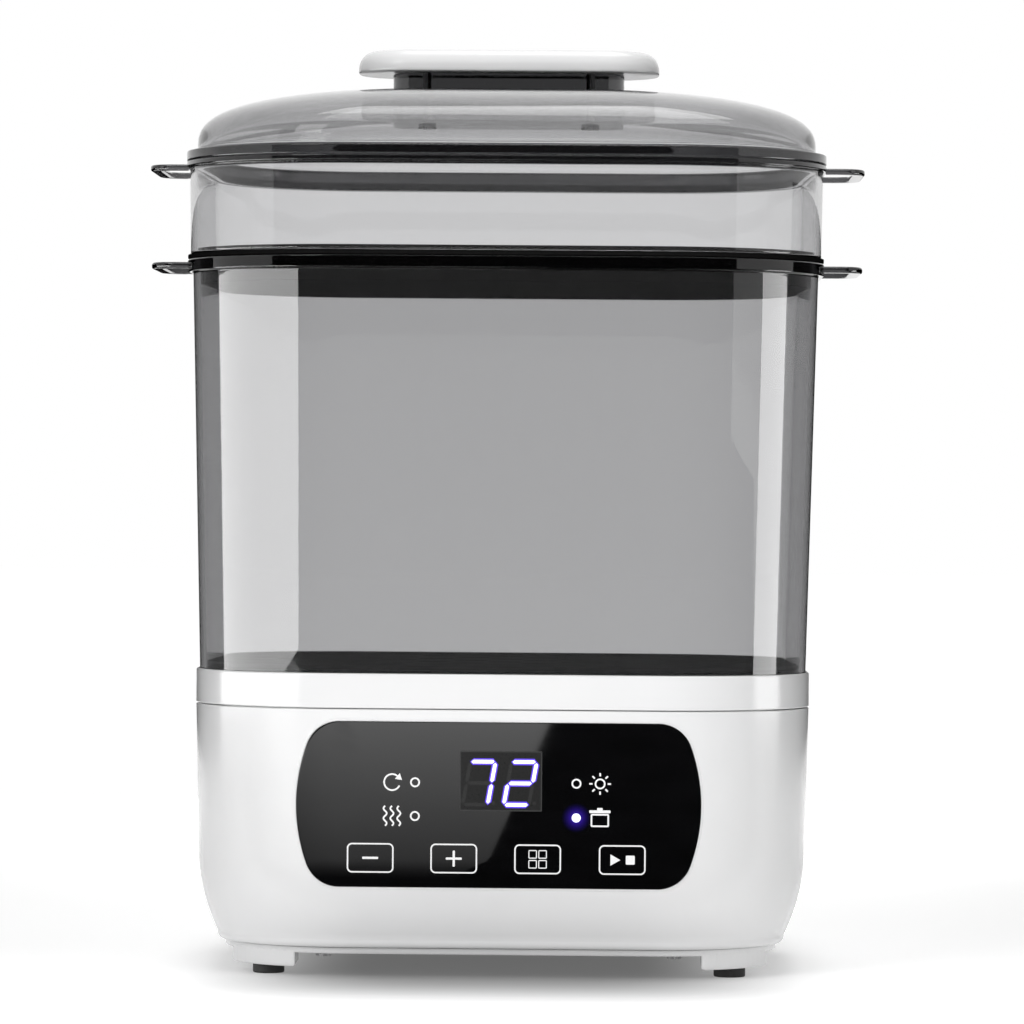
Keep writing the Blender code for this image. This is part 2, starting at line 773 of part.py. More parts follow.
def dome_rings(share, drop):
    """(share of the full plan, height) pairs from the edge of the dome to near its middle."""
    rings = []
    for i in range(DOME_RINGS + 1):
        rise = math.sin(math.radians(81) * i / DOME_RINGS)
        across = (1 - rise ** (1 / DOME_ROOT)) ** (1 / DOME_POWER)
        rings.append((share * across, DOME_BOTTOM + (DOME_TOP - DOME_BOTTOM) * rise - drop))
    return rings


def make_lid_dome():
    inner_share = (DOME_HALF - WALL) / DOME_HALF
    inner = dome_rings(inner_share, WALL)
    outer = dome_rings(1.0, 0.0)
    loops = [at_height(dome_plan(share), z) for share, z in reversed(inner)]
    rim = [
        (0.1318, 0.3460),
        (0.1344, 0.3460),
        (0.1344, LID_BOTTOM),
        (TIER_FLANGE_HALF, LID_BOTTOM),
        (TIER_FLANGE_HALF, 0.3534),
        (TIER_FLANGE_HALF - 0.0006, 0.3540),
        (DOME_HALF + 0.0006, 0.3540),
    ]
    loops += [at_height(body_plan(half), z) for half, z in rim]
    loops += [at_height(dome_plan(share), z) for share, z in outer]
    dome = loft("lid_dome", loops, smoked_plastic())
    combine(dome, lid_screw_holes("dome_hole_cut", 0.378, 0.386), "DIFFERENCE")


def lid_screw_holes(name, low, high):
    holes = []
    for x in (-LID_SCREW_X, LID_SCREW_X):
        holes.append(prism("hole", circle(0.0021, 14, (x, 0.0)), low, high))
    return merged(name, holes)


def make_lid_pedestal():
    plan = rounded_plan(*PEDESTAL_HALF, PEDESTAL_CORNER)
    pedestal = prism("lid_pedestal", plan, 0.3805, HANDLE_BOTTOM - GAP, smoked_plastic())
    rings = [(share, z + GAP) for share, z in dome_rings(1.0, 0.0)]
    loops = [at_height(dome_plan(1.0), 0.340)]
    loops += [at_height(dome_plan(share), z) for share, z in rings]
    combine(pedestal, loft("dome_shape_cut", loops, None), "DIFFERENCE")
    combine(pedestal, lid_screw_holes("pedestal_hole_cut", 0.375, 0.395), "DIFFERENCE")


def make_lid_handle():
    """A rounded plate: a short undercut below, and an elliptical edge above."""
    under, edge_z, edge = 0.0020, HANDLE_BOTTOM + 0.0016, 0.0070
    profile = [(under, HANDLE_BOTTOM), (0.0006, HANDLE_BOTTOM + 0.0004)]
    for i in range(6):
        turn = math.radians(90) * i / 5
        rise = (TOTAL_HEIGHT - edge_z) * math.sin(turn)
        profile.append((edge * (1 - math.cos(turn)), edge_z + rise))
    loops = []
    for inset, z in profile:
        half_x, half_y = HANDLE_HALF[0] - inset, HANDLE_HALF[1] - inset
        loops.append(at_height(rounded_plan(half_x, half_y, HANDLE_CORNER - inset), z))
    handle = loft("lid_handle", loops, white_plastic())
    combine(handle, lid_screw_holes("handle_hole_cut", 0.385, 0.3970), "DIFFERENCE")


def make_lid_screws():
    profile = [(0.0040, 0.3784), (0.0040, 0.3806), (0.0018, 0.3806), (0.0018, 0.3960)]
    for side, x in (("left", -LID_SCREW_X), ("right", LID_SCREW_X)):
        turned(f"lid_screw_{side}", profile, (x, 0.0), bare_steel(), count=14)


# ---------------------------------------------------------------- the whole product

clear_scene()
make_base_shell()
make_control_panel()
make_top_cover()
make_bottom_cover()
make_feet()
make_base_screws()
make_heating_pan()
make_pan_screws()
make_heater_element()
make_thermal_controls()
make_fan_housing()
make_fan_motor()
make_fan_impeller()
make_air_path()
make_outlet_cap()
make_filter()
make_cord_gland()
make_power_board()
make_display()
make_bottle_rack()
make_lower_chamber()
make_middle_tray()
make_upper_tier()
make_lid_dome()
make_lid_pedestal()
make_lid_handle()
make_lid_screws()
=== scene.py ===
"""Finished look of the bottle sterilizer: white base, glossy touch panel, smoked tiers and lid.

Shells are profiles carried round a rounded rectangle, panel legends are thin plates laid on the bowed
panel, and every material is made of nodes on object coordinates.
"""

import json
import math

import bpy
import numpy as np
from mathutils import Matrix, Vector


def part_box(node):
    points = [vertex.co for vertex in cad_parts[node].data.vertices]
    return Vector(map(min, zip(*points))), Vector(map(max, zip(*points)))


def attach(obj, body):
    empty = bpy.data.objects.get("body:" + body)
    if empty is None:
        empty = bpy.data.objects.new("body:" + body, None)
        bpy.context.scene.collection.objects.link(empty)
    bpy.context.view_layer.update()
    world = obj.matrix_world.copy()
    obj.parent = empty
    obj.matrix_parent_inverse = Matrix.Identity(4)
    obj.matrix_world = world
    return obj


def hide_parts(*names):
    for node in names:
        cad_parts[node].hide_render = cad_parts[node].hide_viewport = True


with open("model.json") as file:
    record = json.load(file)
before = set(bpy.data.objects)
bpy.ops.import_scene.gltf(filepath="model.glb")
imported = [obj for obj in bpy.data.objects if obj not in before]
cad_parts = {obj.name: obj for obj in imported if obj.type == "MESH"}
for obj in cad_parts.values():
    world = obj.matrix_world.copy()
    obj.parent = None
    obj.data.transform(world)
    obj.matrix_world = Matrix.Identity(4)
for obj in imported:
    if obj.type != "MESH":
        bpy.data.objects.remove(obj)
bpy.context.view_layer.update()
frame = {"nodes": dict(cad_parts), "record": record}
nodes = frame["nodes"]

# ---------------------------------------------------------------- sizes shared with the frame

BASE_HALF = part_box("base_top_cover")[1].x
DEPTH_LESS = BASE_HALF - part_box("base_top_cover")[1].y
CORNER = 0.0680
RIM_BOTTOM = 0.1153
RIM_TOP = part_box("base_top_cover")[1].z
FLOOR_TOP = 0.1125
SHELL_BOTTOM, SHELL_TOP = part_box("base_shell")[0].z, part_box("base_shell")[1].z
CHAMBER_BOTTOM, CHAMBER_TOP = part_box("lower_chamber")[0].z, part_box("lower_chamber")[1].z
TIER_BOTTOM, TIER_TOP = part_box("upper_tier")[0].z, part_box("upper_tier")[1].z
CHAMBER_FLANGE, TIER_FLANGE = 0.1382, 0.1390
CHAMBER_LOOP, TIER_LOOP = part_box("lower_chamber")[1].x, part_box("upper_tier")[1].x
DOME_HALF, DOME_BOTTOM, DOME_TOP = 0.1343, 0.3560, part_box("lid_dome")[1].z
HANDLE_BOTTOM, HANDLE_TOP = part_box("lid_handle")[0].z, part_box("lid_handle")[1].z
WALL = 0.0025
PANEL_CENTRE = 0.0746
PANEL_PROUD = 0.00035

LEAST_RADIUS = 1e-4
DRAFT, FOOT_START, FOOT_CURVE = 0.0246, 0.050, 6.68
PANEL_HALF, PANEL_CORNER, PANEL_END = (0.0861, 0.0354), 0.015, 0.075
FLANGE_TOE = 0.00005
SLOT_PITCH, SLOT_HALF = np.array([0.031, 0.021]), np.array([0.0085, 0.0042])
DOME_FALL, DOME_RISE = 2.5, 0.36

# ---------------------------------------------------------------- surfaces

ARC_STEPS = 22
SIDE_STEPS = 10


def full_turn(count):
    """Angles spread evenly over one turn."""
    return np.linspace(0, 2 * math.pi, count, endpoint=False)


def quarter_turn(count):
    """Angles from 0 to a right angle, both included."""
    return np.radians(np.linspace(0, 90, count))


def compass(turn):
    """Unit vectors at the given angles."""
    return np.stack([np.cos(turn), np.sin(turn)], -1)


def placed(name, data):
    """A new object in the scene, at the origin."""
    made = bpy.data.objects.new(name, data)
    bpy.context.scene.collection.objects.link(made)
    return made


def meshed(name, points, *faces):
    """A mesh from an array of points and arrays of faces."""
    mesh = bpy.data.meshes.new(name)
    mesh.from_pydata(points.tolist(), [], [face for group in faces for face in group.tolist()])
    return mesh


def outline_terms(arc=ARC_STEPS, side=SIDE_STEPS):
    """Core shares and normals of any rounded rectangle, anticlockwise from its +X side.

    A point of the outline is core * (half size - radius) + radius * normal. Round a corner the core is
    fixed at (+-1, +-1) and the normal turns by 90 degrees; along a side the core runs from corner to corner.
    """
    turn = quarter_turn(arc + 1)
    run = np.sin(np.linspace(math.pi / 2, -math.pi / 2, side + 1))[1:-1]
    core, normal = [], []
    for quarter, (sx, sy) in enumerate([(1, 1), (-1, 1), (-1, -1), (1, -1)]):
        angle = turn + math.pi / 2 * quarter
        core.append(np.tile([sx, sy], (arc + 1, 1)))
        normal.append(compass(angle))
        across = np.full_like(run, sx if quarter % 2 else sy)
        along = run * (sy if quarter % 2 else sx)
        core.append(np.stack([across, along] if quarter % 2 else [along, across], 1))
        end = math.pi / 2 * (quarter + 1)
        normal.append(np.tile([math.cos(end), math.sin(end)], (side - 1, 1)))
    return np.concatenate(core).astype(float), np.concatenate(normal)


CORE, NORMAL = outline_terms()


def rounded(half_x, half_y, radius, terms=None):
    """Rounded rectangles as an array (profile points, outline points, 2), from arrays of half sizes."""
    core, normal = terms or (CORE, NORMAL)
    half_x, half_y, radius = np.broadcast_arrays(*map(np.atleast_1d, (half_x, half_y, radius)))
    inner = np.stack([half_x - radius, half_y - radius], 1)[:, None, :]
    return core[None] * inner + radius[:, None, None] * normal[None]


def carried(profile):
    """A profile of (half width, height) carried round the body: depth and corner follow the half width."""
    half, height = np.asarray(profile, float).T
    return raised(rounded(half, half - DEPTH_LESS, np.maximum(CORNER + half - BASE_HALF, LEAST_RADIUS)), height)


def raised(flat, height):
    """Outlines lifted to their heights: (rows, points, 2) with (rows,) gives (rows, points, 3)."""
    level = np.broadcast_to(np.asarray(height, float)[:, None, None], flat.shape[:2] + (1,))
    return np.concatenate([flat, level], 2)


def softened(points, trims, steps=5, hold=0.25):
    """A profile with each corner rounded by the parabola that is tangent to both its sides.

    The parabola starts and ends at distance trim from the corner. Seen from the corner, its point at share
    s is the step back times the square of (1 - s), plus the step on times the square of s. One more point
    lies on each side, a share hold of the trim beyond the curve, so the flats stay flat in shading.
    A trim of 0 leaves the corner sharp. Both ends stay.
    """
    points = np.asarray(points, float)
    trims = np.broadcast_to(np.asarray(trims, float), (len(points) - 2,))[:, None]
    here, back, on = points[1:-1], points[:-2] - points[1:-1], points[2:] - points[1:-1]
    back = back / np.linalg.norm(back, axis=1, keepdims=True) * trims
    on = on / np.linalg.norm(on, axis=1, keepdims=True) * trims
    s = np.linspace(0, 1, steps + 1)[None, :, None]
    curve = here[:, None] + (1 - s) ** 2 * back[:, None] + s ** 2 * on[:, None]
    before, after = here + back * (1 + hold), here + on * (1 + hold)
    curve = np.concatenate([before[:, None], curve, after[:, None]], 1)
    line = np.concatenate([points[:1], curve.reshape(-1, points.shape[1]), points[-1:]])
    keep = np.append(True, np.linalg.norm(np.diff(line, axis=0), axis=1) > 1e-6)
    return line[keep]


def softened_ring(points, trims, steps=5):
    """As softened, for a closed profile."""
    points = np.asarray(points, float)
    trims = np.broadcast_to(np.asarray(trims, float), (len(points),))
    around = np.concatenate([points[-1:], points, points[:1]])
    return softened(around, trims, steps)[1:-1]


def wall_faces(rows, count, joined=False):
    """Quads between successive rows of count points, wrapping round each row, and row to row if joined."""
    row = np.arange(rows if joined else rows - 1)[:, None]
    i = np.arange(count)[None, :]
    j, following = (i + 1) % count, (row + 1) % rows
    quads = [row * count + i, row * count + j, following * count + j, following * count + i]
    return np.stack(np.broadcast_arrays(*quads), 2).reshape(-1, 4)


def pole_faces(first, count, pole):
    """Triangles from a row of count points, starting at index first, to one pole point."""
    i = np.arange(count)
    return np.stack([first + i, first + (i + 1) % count, np.full(count, pole)], 1)


class Solid:
    """Points with quads and triangles, turned outwards by the sign of the volume they enclose."""

    def __init__(self, points, quads, triangles):
        cut = np.concatenate([quads[:, [0, 1, 2]], quads[:, [0, 2, 3]], triangles])
        volume = np.linalg.det(points[cut] - points.mean(0)).sum()
        if volume < 0:
            quads, triangles = quads[:, ::-1], triangles[:, ::-1]
        self.points, self.quads, self.triangles = points, quads, triangles


NO_TRIANGLES = np.zeros((0, 3), int)


def tube(grid):
    """A closed wall: the rows of the grid close on themselves, so the solid has a hole through it."""
    rows, count = grid.shape[:2]
    return Solid(grid.reshape(-1, 3), wall_faces(rows, count, joined=True), NO_TRIANGLES)


def capped(grid):
    """A solid without a hole: the first and last rows close at a pole in the middle of each."""
    rows, count = grid.shape[:2]
    poles = np.stack([grid[0].mean(0), grid[-1].mean(0)])
    points = np.concatenate([grid.reshape(-1, 3), poles])
    first = pole_faces(0, count, rows * count)[:, ::-1]
    last = pole_faces((rows - 1) * count, count, rows * count + 1)
    return Solid(points, wall_faces(rows, count), np.concatenate([first, last]))


def turned(profile, centre):
    """A profile of (radius, height) turned about the upright axis through centre."""
    radius, height = np.asarray(profile, float).T
    return capped(raised(radius[:, None, None] * circle(1.0, count=48) + np.asarray(centre), height))


def build(name, solids, material, body, replaced=(), sharp=50):
    """One object from solids, with smooth faces, riding on a body and standing for CAD nodes."""
    starts = np.cumsum([0] + [len(s.points) for s in solids])
    points = np.concatenate([s.points for s in solids])
    quads = np.concatenate([s.quads + at for s, at in zip(solids, starts)])
    triangles = np.concatenate([s.triangles + at for s, at in zip(solids, starts)])
    return finished(name, meshed(name, points, quads, triangles), material, body, replaced, sharp)


def finished(name, mesh, material, body, replaced=(), sharp=50):
    """Gives a mesh its material, smooth shading with sharp corners, its body and its CAD nodes."""
    mesh.shade_smooth()
    mesh.set_sharp_from_angle(angle=math.radians(sharp))
    mesh.materials.clear()
    mesh.materials.append(material)
    made = placed(name, mesh)
    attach(made, body)
    if replaced:
        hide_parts(*replaced)
    return made


# ---------------------------------------------------------------- materials

class Finish:
    """A material in the making: its nodes, its shader and its object coordinates.

    Sockets are named with _ for a space. A value is a plain number or colour, or a socket to link from.
    """

    def __init__(self, name):
        self.material = bpy.data.materials.new(name)
        self.material.use_nodes = True
        self.tree = self.material.node_tree
        self.shader = self.tree.nodes["Principled BSDF"]
        self.place = self.tree.nodes.new("ShaderNodeTexCoord").outputs["Object"]

    def put(self, socket, value):
        """Links a socket, or sets it to a plain value."""
        if isinstance(value, bpy.types.NodeSocket):
            self.tree.links.new(value, socket)
        else:
            socket.default_value = value

    def node(self, kind, **values):
        """Adds a node and fills its inputs by name."""
        made = self.tree.nodes.new("ShaderNode" + kind)
        for socket, value in values.items():
            self.put(made.inputs[socket.replace("_", " ")], value)
        return made

    def surface(self, **values):
        """Sets or links the shader's own sockets."""
        for socket, value in values.items():
            self.put(self.shader.inputs[socket.replace("_", " ")], value)

    def noise(self, scale, detail=4.0, stretch=(1, 1, 1)):
        """Fractal noise on object coordinates, stretched along any axis by a mapping."""
        spot = self.node("Mapping", Vector=self.place, Scale=stretch).outputs["Vector"]
        return self.node("TexNoise", Vector=spot, Scale=scale, Detail=detail).outputs["Fac"]

    def cell_edges(self, scale):
        """Distance to the nearest edge of Voronoi cells."""
        made = self.node("TexVoronoi", Vector=self.place, Scale=scale)
        made.feature = "DISTANCE_TO_EDGE"
        return made.outputs["Distance"]

    def coordinate(self, axis):
        """One object coordinate."""
        return self.node("SeparateXYZ", Vector=self.place).outputs[axis]

    def worked(self, operation, *values):
        """One step of arithmetic on one or two values."""
        made = self.node("Math")
        made.operation = operation
        for socket, value in zip(made.inputs, values):
            self.put(socket, value)
        return made.outputs[0]

    def ranged(self, value, low, high, source=(0.3, 0.7), interpolation="LINEAR"):
        """A value remapped from its source range to low..high."""
        start, stop = source
        made = self.node("MapRange", Value=value, From_Min=start, From_Max=stop, To_Min=low, To_Max=high)
        made.interpolation_type = interpolation
        return made.outputs["Result"]

    def shaded(self, value, low, high, source=(0.3, 0.7)):
        """A colour that runs from low to high with the value."""
        ramp = self.node("ValToRGB", Fac=value)
        for element, position, colour in zip(ramp.color_ramp.elements, source, (low, high)):
            element.position, element.color = position, (*colour, 1)
        return ramp.outputs["Color"]

    def relief(self, height, strength, distance):
        """Surface relief from a height value."""
        bump = self.node("Bump", Height=height, Strength=strength, Distance=distance)
        self.surface(Normal=bump.outputs["Normal"])


def white_plastic():
    """Glossy white moulding: faint cloudiness in the colour, a slight ripple, gloss that varies a little."""
    made = Finish("finish_white_plastic")
    made.surface(Base_Color=made.shaded(made.noise(14.0), (0.790, 0.792, 0.797), (0.818, 0.818, 0.820)),
                 Roughness=made.ranged(made.noise(60.0), 0.14, 0.22), IOR=1.50)
    made.relief(made.noise(900.0, 2.0), 0.06, 0.00010)
    return made.material


# The darker colour is painted shade, laid on the flanges and their loops in two bands of height.
CLEAR, FLANGE_SHADE = (0.97, 0.97, 0.975, 1), (0.16, 0.16, 0.165, 1)
SHADE_BAND_RANGE = (0.3000, 0.3600)
SHADE_BAND_STEPS = [(0.3010, CLEAR), (0.3016, FLANGE_SHADE), (0.3072, FLANGE_SHADE), (0.3078, CLEAR),
              (0.3455, CLEAR), (0.3461, FLANGE_SHADE), (0.3541, FLANGE_SHADE), (0.3547, CLEAR)]


def smoked_plastic(name, density):
    """Clear grey moulding: polished faces, colour from the depth of plastic that light passes through.

    The flanges and their loops get painted shade: the colour runs darker in two bands of height.
    """
    made = Finish(name)
    ramp = made.node("ValToRGB", Fac=made.ranged(made.coordinate("Z"), 0, 1, SHADE_BAND_RANGE))
    places = [(height - SHADE_BAND_RANGE[0]) / (SHADE_BAND_RANGE[1] - SHADE_BAND_RANGE[0]) for height, _ in SHADE_BAND_STEPS]
    for place in places[2:]:
        ramp.color_ramp.elements.new(place)
    for element, place, (_, colour) in zip(ramp.color_ramp.elements, places, SHADE_BAND_STEPS):
        element.position, element.color = place, colour
    made.surface(Base_Color=ramp.outputs["Color"], Transmission_Weight=1.0, IOR=1.49,
                 Roughness=made.ranged(made.noise(30.0), 0.010, 0.030))
    made.relief(made.noise(12.0, 1.0), 0.05, 0.0002)
    depth = made.node("VolumeAbsorption", Color=(0.50, 0.50, 0.505, 1), Density=density)
    made.put(made.tree.nodes["Material Output"].inputs["Volume"], depth.outputs["Volume"])
    return made.material


def black_plastic(name, low, high):
    """Matt black moulding with a fine spark-eroded grain."""
    made = Finish(name)
    grain = made.noise(1800.0, 3.0)
    made.surface(Base_Color=made.shaded(grain, (low, low, low), (high, high, high)),
                 Roughness=made.ranged(made.noise(80.0), 0.42, 0.55), Specular_IOR_Level=0.0)
    made.relief(grain, 0.25, 0.00006)
    return made.material


def panel_plastic():
    """High-gloss black cover with a trace of haze from wiping."""
    made = Finish("finish_panel_plastic")
    haze = made.noise(35.0, 6.0, (1.0, 1.0, 3.0))
    made.surface(Base_Color=made.shaded(haze, (0.0018, 0.0018, 0.002), (0.0030, 0.0030, 0.0034)),
                 Roughness=made.ranged(haze, 0.015, 0.035), IOR=1.52)
    return made.material


def rubber():
    """Matt black rubber with a dusty, slightly open skin."""
    made = Finish("finish_rubber")
    skin = made.noise(700.0, 5.0)
    made.surface(Base_Color=made.shaded(skin, (0.012, 0.012, 0.012), (0.030, 0.030, 0.029)),
                 Roughness=made.ranged(skin, 0.62, 0.85))
    made.relief(skin, 0.4, 0.00015)
    return made.material


def board_laminate():
    """Green circuit board: dark laminate under solder mask, with paler tracks along the edges of cells."""
    made = Finish("finish_board_laminate")
    track = made.cell_edges(320.0)
    made.surface(Base_Color=made.shaded(track, (0.045, 0.26, 0.10), (0.010, 0.11, 0.045), (0.05, 0.09)),
                 Roughness=made.ranged(made.noise(200.0), 0.28, 0.42))
    made.relief(track, 0.2, 0.00005)
    return made.material


def bare_steel():
    """Plain steel with a fine turned grain."""
    made = Finish("finish_bare_steel")
    grain = made.noise(900.0, 3.0, (1.0, 1.0, 0.08))
    made.surface(Base_Color=made.shaded(grain, (0.50, 0.50, 0.51), (0.68, 0.68, 0.68)),
                 Roughness=made.ranged(grain, 0.22, 0.38), Metallic=1.0)
    made.relief(grain, 0.1, 0.00004)
    return made.material


def coated_steel():
    """Grey non-stick coat with pale specks."""
    made = Finish("finish_coated_steel")
    speck = made.noise(2600.0, 2.0)
    made.surface(Base_Color=made.shaded(speck, (0.10, 0.10, 0.105), (0.42, 0.42, 0.42), (0.60, 0.68)),
                 Roughness=made.ranged(made.noise(150.0), 0.32, 0.45))
    made.relief(speck, 0.1, 0.00004)
    return made.material


def filter_foam():
    """Open-cell foam: dark pores between pale struts."""
    made = Finish("finish_filter_foam")
    strut = made.cell_edges(900.0)
    made.surface(Base_Color=made.shaded(strut, (0.62, 0.64, 0.65), (0.10, 0.11, 0.11), (0.02, 0.14)),
                 Roughness=0.9)
    made.relief(strut, 0.8, 0.0006)
    return made.material


def lamp_lens():
    """Clear moulded lamp body with slight flow lines."""
    made = Finish("finish_lamp_lens")
    made.surface(Base_Color=(0.85, 0.87, 0.95, 1), Transmission_Weight=0.7,
                 Roughness=made.ranged(made.noise(400.0), 0.05, 0.15))
    return made.material


def legend_ink(name, colour, glow=0.0, glow_colour=(1, 1, 1)):
    """Screen-printed ink or a lit window: fine print grain in the colour, and light of its own if it glows."""
    made = Finish(name)
    grain = made.noise(2500.0, 2.0)
    made.surface(Base_Color=made.shaded(grain, [0.92 * part for part in colour], colour),
                 Roughness=made.ranged(grain, 0.25, 0.4),
                 Emission_Color=(*glow_colour, 1), Emission_Strength=glow)
    return made.material


def halo(name, centre, radius, colour, strength):
    """Panel gloss with a round glow: light falls off as the square of the distance left to the radius."""
    made = Finish(name)
    spot = made.node("Mapping", Vector=made.place, Scale=(1 / radius, 0, 1 / radius),
                     Location=(-centre[0] / radius, 0, -centre[1] / radius)).outputs["Vector"]
    ball = made.node("TexGradient", Vector=spot)
    ball.gradient_type = "QUADRATIC_SPHERE"
    made.surface(Base_Color=(0.0022, 0.0022, 0.0025, 1), Roughness=made.ranged(made.noise(35.0), 0.03, 0.06),
                 Emission_Strength=made.ranged(ball.outputs["Fac"], 0, strength, (0, 1)),
                 Emission_Color=(*colour, 1))
    return made.material


WHITE, PANEL = white_plastic(), panel_plastic()
BLACK = black_plastic("finish_black_plastic", 0.004, 0.009)
# The rack plate's black is a paler copy: painted light, standing in for the sheen that a zero specular level
# takes away.
BLACK_PLATE_PAINTED_LIGHT = black_plastic("finish_black_plate_painted_light", 0.020, 0.036)
SMOKED = smoked_plastic("finish_smoked_plastic", 340.0)
SMOKED_LIGHT = smoked_plastic("finish_smoked_plastic_light", 165.0)
SMOKED_LID = smoked_plastic("finish_smoked_plastic_lid", 240.0)
RUBBER = rubber()
FINISHES = {
    "white_plastic": WHITE, "smoked_plastic": SMOKED, "black_plastic": BLACK, "panel_plastic": PANEL,
    "rubber": RUBBER, "board_laminate": board_laminate(), "bare_steel": bare_steel(),
    "coated_steel": coated_steel(), "filter_foam": filter_foam(), "lamp_lens": lamp_lens(),
}
for subpart in frame["record"]["subparts"]:
    cad = nodes[subpart["node"]]
    for cad_slot in cad.material_slots:
        cad_slot.material = FINISHES[subpart["material_slot"]]
    if not cad.material_slots:
        cad.data.materials.append(FINISHES[subpart["material_slot"]])


# ---------------------------------------------------------------- base

def side_inset(z):
    """How far the base stands inside its rim: a draft, plus a parabola that rounds the foot in."""
    return DRAFT * (RIM_BOTTOM - z) + FOOT_CURVE * np.maximum(FOOT_START - z, 0) ** 2


def front_surface(x, z, out):
    """Points on the front wall at (x, z), out along its normal.

    The wall is flat up to the start of its corner and then follows the corner's circle.
    """
    half = BASE_HALF - side_inset(z)
    radius = CORNER + half - BASE_HALF
    beyond = np.sign(x) * np.maximum(np.abs(x) - (half - radius), 0)
    slope = beyond / radius
    cosine = np.sqrt(1 - slope ** 2)
    y = -(half - DEPTH_LESS - radius) - radius * cosine
    return np.stack([x + slope * out, y - cosine * out, z + 0 * x], -1)


def panel_outline(less=0.0):
    """The panel's outline round its own centre: round corners, bowed ends, smaller by less.

    Each end is an arc of 75 mm radius, tangent to the 15 mm corners that lead into the straight edges.
    """
    steps = 12
    half_x, half_z, corner, end = (size - less for size in (*PANEL_HALF, PANEL_CORNER, PANEL_END))
    rise = half_z - corner
    tangent = math.asin(rise / (end - corner))
    low = np.linspace(0, tangent, steps, endpoint=False)
    high = np.linspace(tangent, math.pi / 2, steps + 1)
    corner_x = half_x - end + (end - corner) * math.cos(tangent)
    bowed = np.stack([half_x - end + end * np.cos(low), end * np.sin(low)], 1)
    turned_in = np.stack([corner_x + corner * np.cos(high), rise + corner * np.sin(high)], 1)
    run = np.linspace(corner_x, -corner_x, 42)[1:-1]
    flat = np.stack([run, np.full_like(run, half_z)], 1)
    right = np.concatenate([bowed, turned_in])
    left = right[::-1] * [-1, 1]
    upper = np.concatenate([right, flat, left])
    return np.concatenate([upper, upper[-2:0:-1] * [1, -1]])


def on_front(flat, out):
    """Rows of (x, z) about the panel's centre, laid on the front wall at their distances out."""
    out = np.broadcast_to(np.asarray(out, float)[:, None], flat.shape[:2])
    return front_surface(flat[..., 0], flat[..., 1] + PANEL_CENTRE, out)


def base_shell():
    """Lower housing: drafted wall with a rounded foot, and a lip round the panel."""
    straight = np.array([SHELL_TOP - 0.0004, SHELL_TOP - 0.0007, 0.105, 0.095, 0.085, 0.075, 0.065, 0.057])
    heights = np.concatenate([straight, np.linspace(0.050, SHELL_BOTTOM + 0.0034, 14)])
    outer = np.stack([BASE_HALF - side_inset(heights), heights], 1)
    top = [[outer[0, 0] - 0.0004, SHELL_TOP]]
    turn = quarter_turn(8)
    foot = np.stack([outer[-1, 0] - 0.0020 * (1 - np.cos(turn)), SHELL_BOTTOM + 0.0032 * (1 - np.sin(turn))], 1)
    inner = (outer - [WALL, 0])[::-1]
    inner[0, 1], inner[-1, 1] = SHELL_BOTTOM, SHELL_TOP
    wall = tube(carried(np.concatenate([top, outer, foot, inner])))
    turn = full_turn(10)
    lip = [panel_outline(0.00005 - 0.00040 * (1 + math.cos(t))) for t in turn]
    edge = tube(on_front(np.stack(lip), 0.00022 * np.sin(turn) - 0.00002))
    made = build("base_shell_finish", [wall, edge], WHITE, "base", ["base_shell"])
    cut_through(made, [back_opening("filter_cut", (-0.045, 0.056), (0.030, 0.024), 0.004),
                       back_opening("gland_cut", (0.055, 0.065), (0.0068, 0.0068), 0.0068)])


def back_opening(name, centre, half, corner):
    """A rounded prism through the back wall, used to cut an opening."""
    flat = rounded(half[0], half[1], corner * 0.999)[0]
    rows = [np.stack([centre[0] + flat[:, 0], np.full(len(flat), y), centre[1] + flat[:, 1]], 1)
            for y in (0.085, 0.125)]
    solid = capped(np.stack(rows))
    return placed(name, meshed(name, solid.points, solid.quads, solid.triangles))


def cut_through(target, cutters):
    """Cuts each opening out of the target's mesh, then clears the cutters away."""
    for cutter in cutters:
        cut = target.modifiers.new("opening", "BOOLEAN")
        cut.operation, cut.solver, cut.object = "DIFFERENCE", "EXACT", cutter
    graph = bpy.context.evaluated_depsgraph_get()
    mesh = bpy.data.meshes.new_from_object(target.evaluated_get(graph))
    target.modifiers.clear()
    target.data = mesh
    mesh.shade_smooth()
    mesh.set_sharp_from_angle(angle=math.radians(35))
    for cutter in cutters:
        bpy.data.objects.remove(cutter)


def control_panel():
    """Glossy cover: the outline shrunk towards its centre in rows, with a rounded edge, laid on the wall."""
    shares, bevel, edge_radius, back_out = np.linspace(0.04, 0.985, 16), quarter_turn(6), 0.0004, -0.0022
    front = [panel_outline() * share for share in shares]
    edge = [panel_outline(0.0002 + edge_radius * (1 - math.sin(b))) for b in bevel]
    back = [panel_outline(0.0002), panel_outline(0.0003) * 0.5]
    out = np.concatenate([np.full(len(shares), PANEL_PROUD), PANEL_PROUD - edge_radius * (1 - np.cos(bevel)),
                          [back_out, back_out]])
    grid = on_front(np.stack(front + edge + back), out)
    build("control_panel_finish", [capped(grid)], PANEL, "base", ["control_panel"], sharp=60)


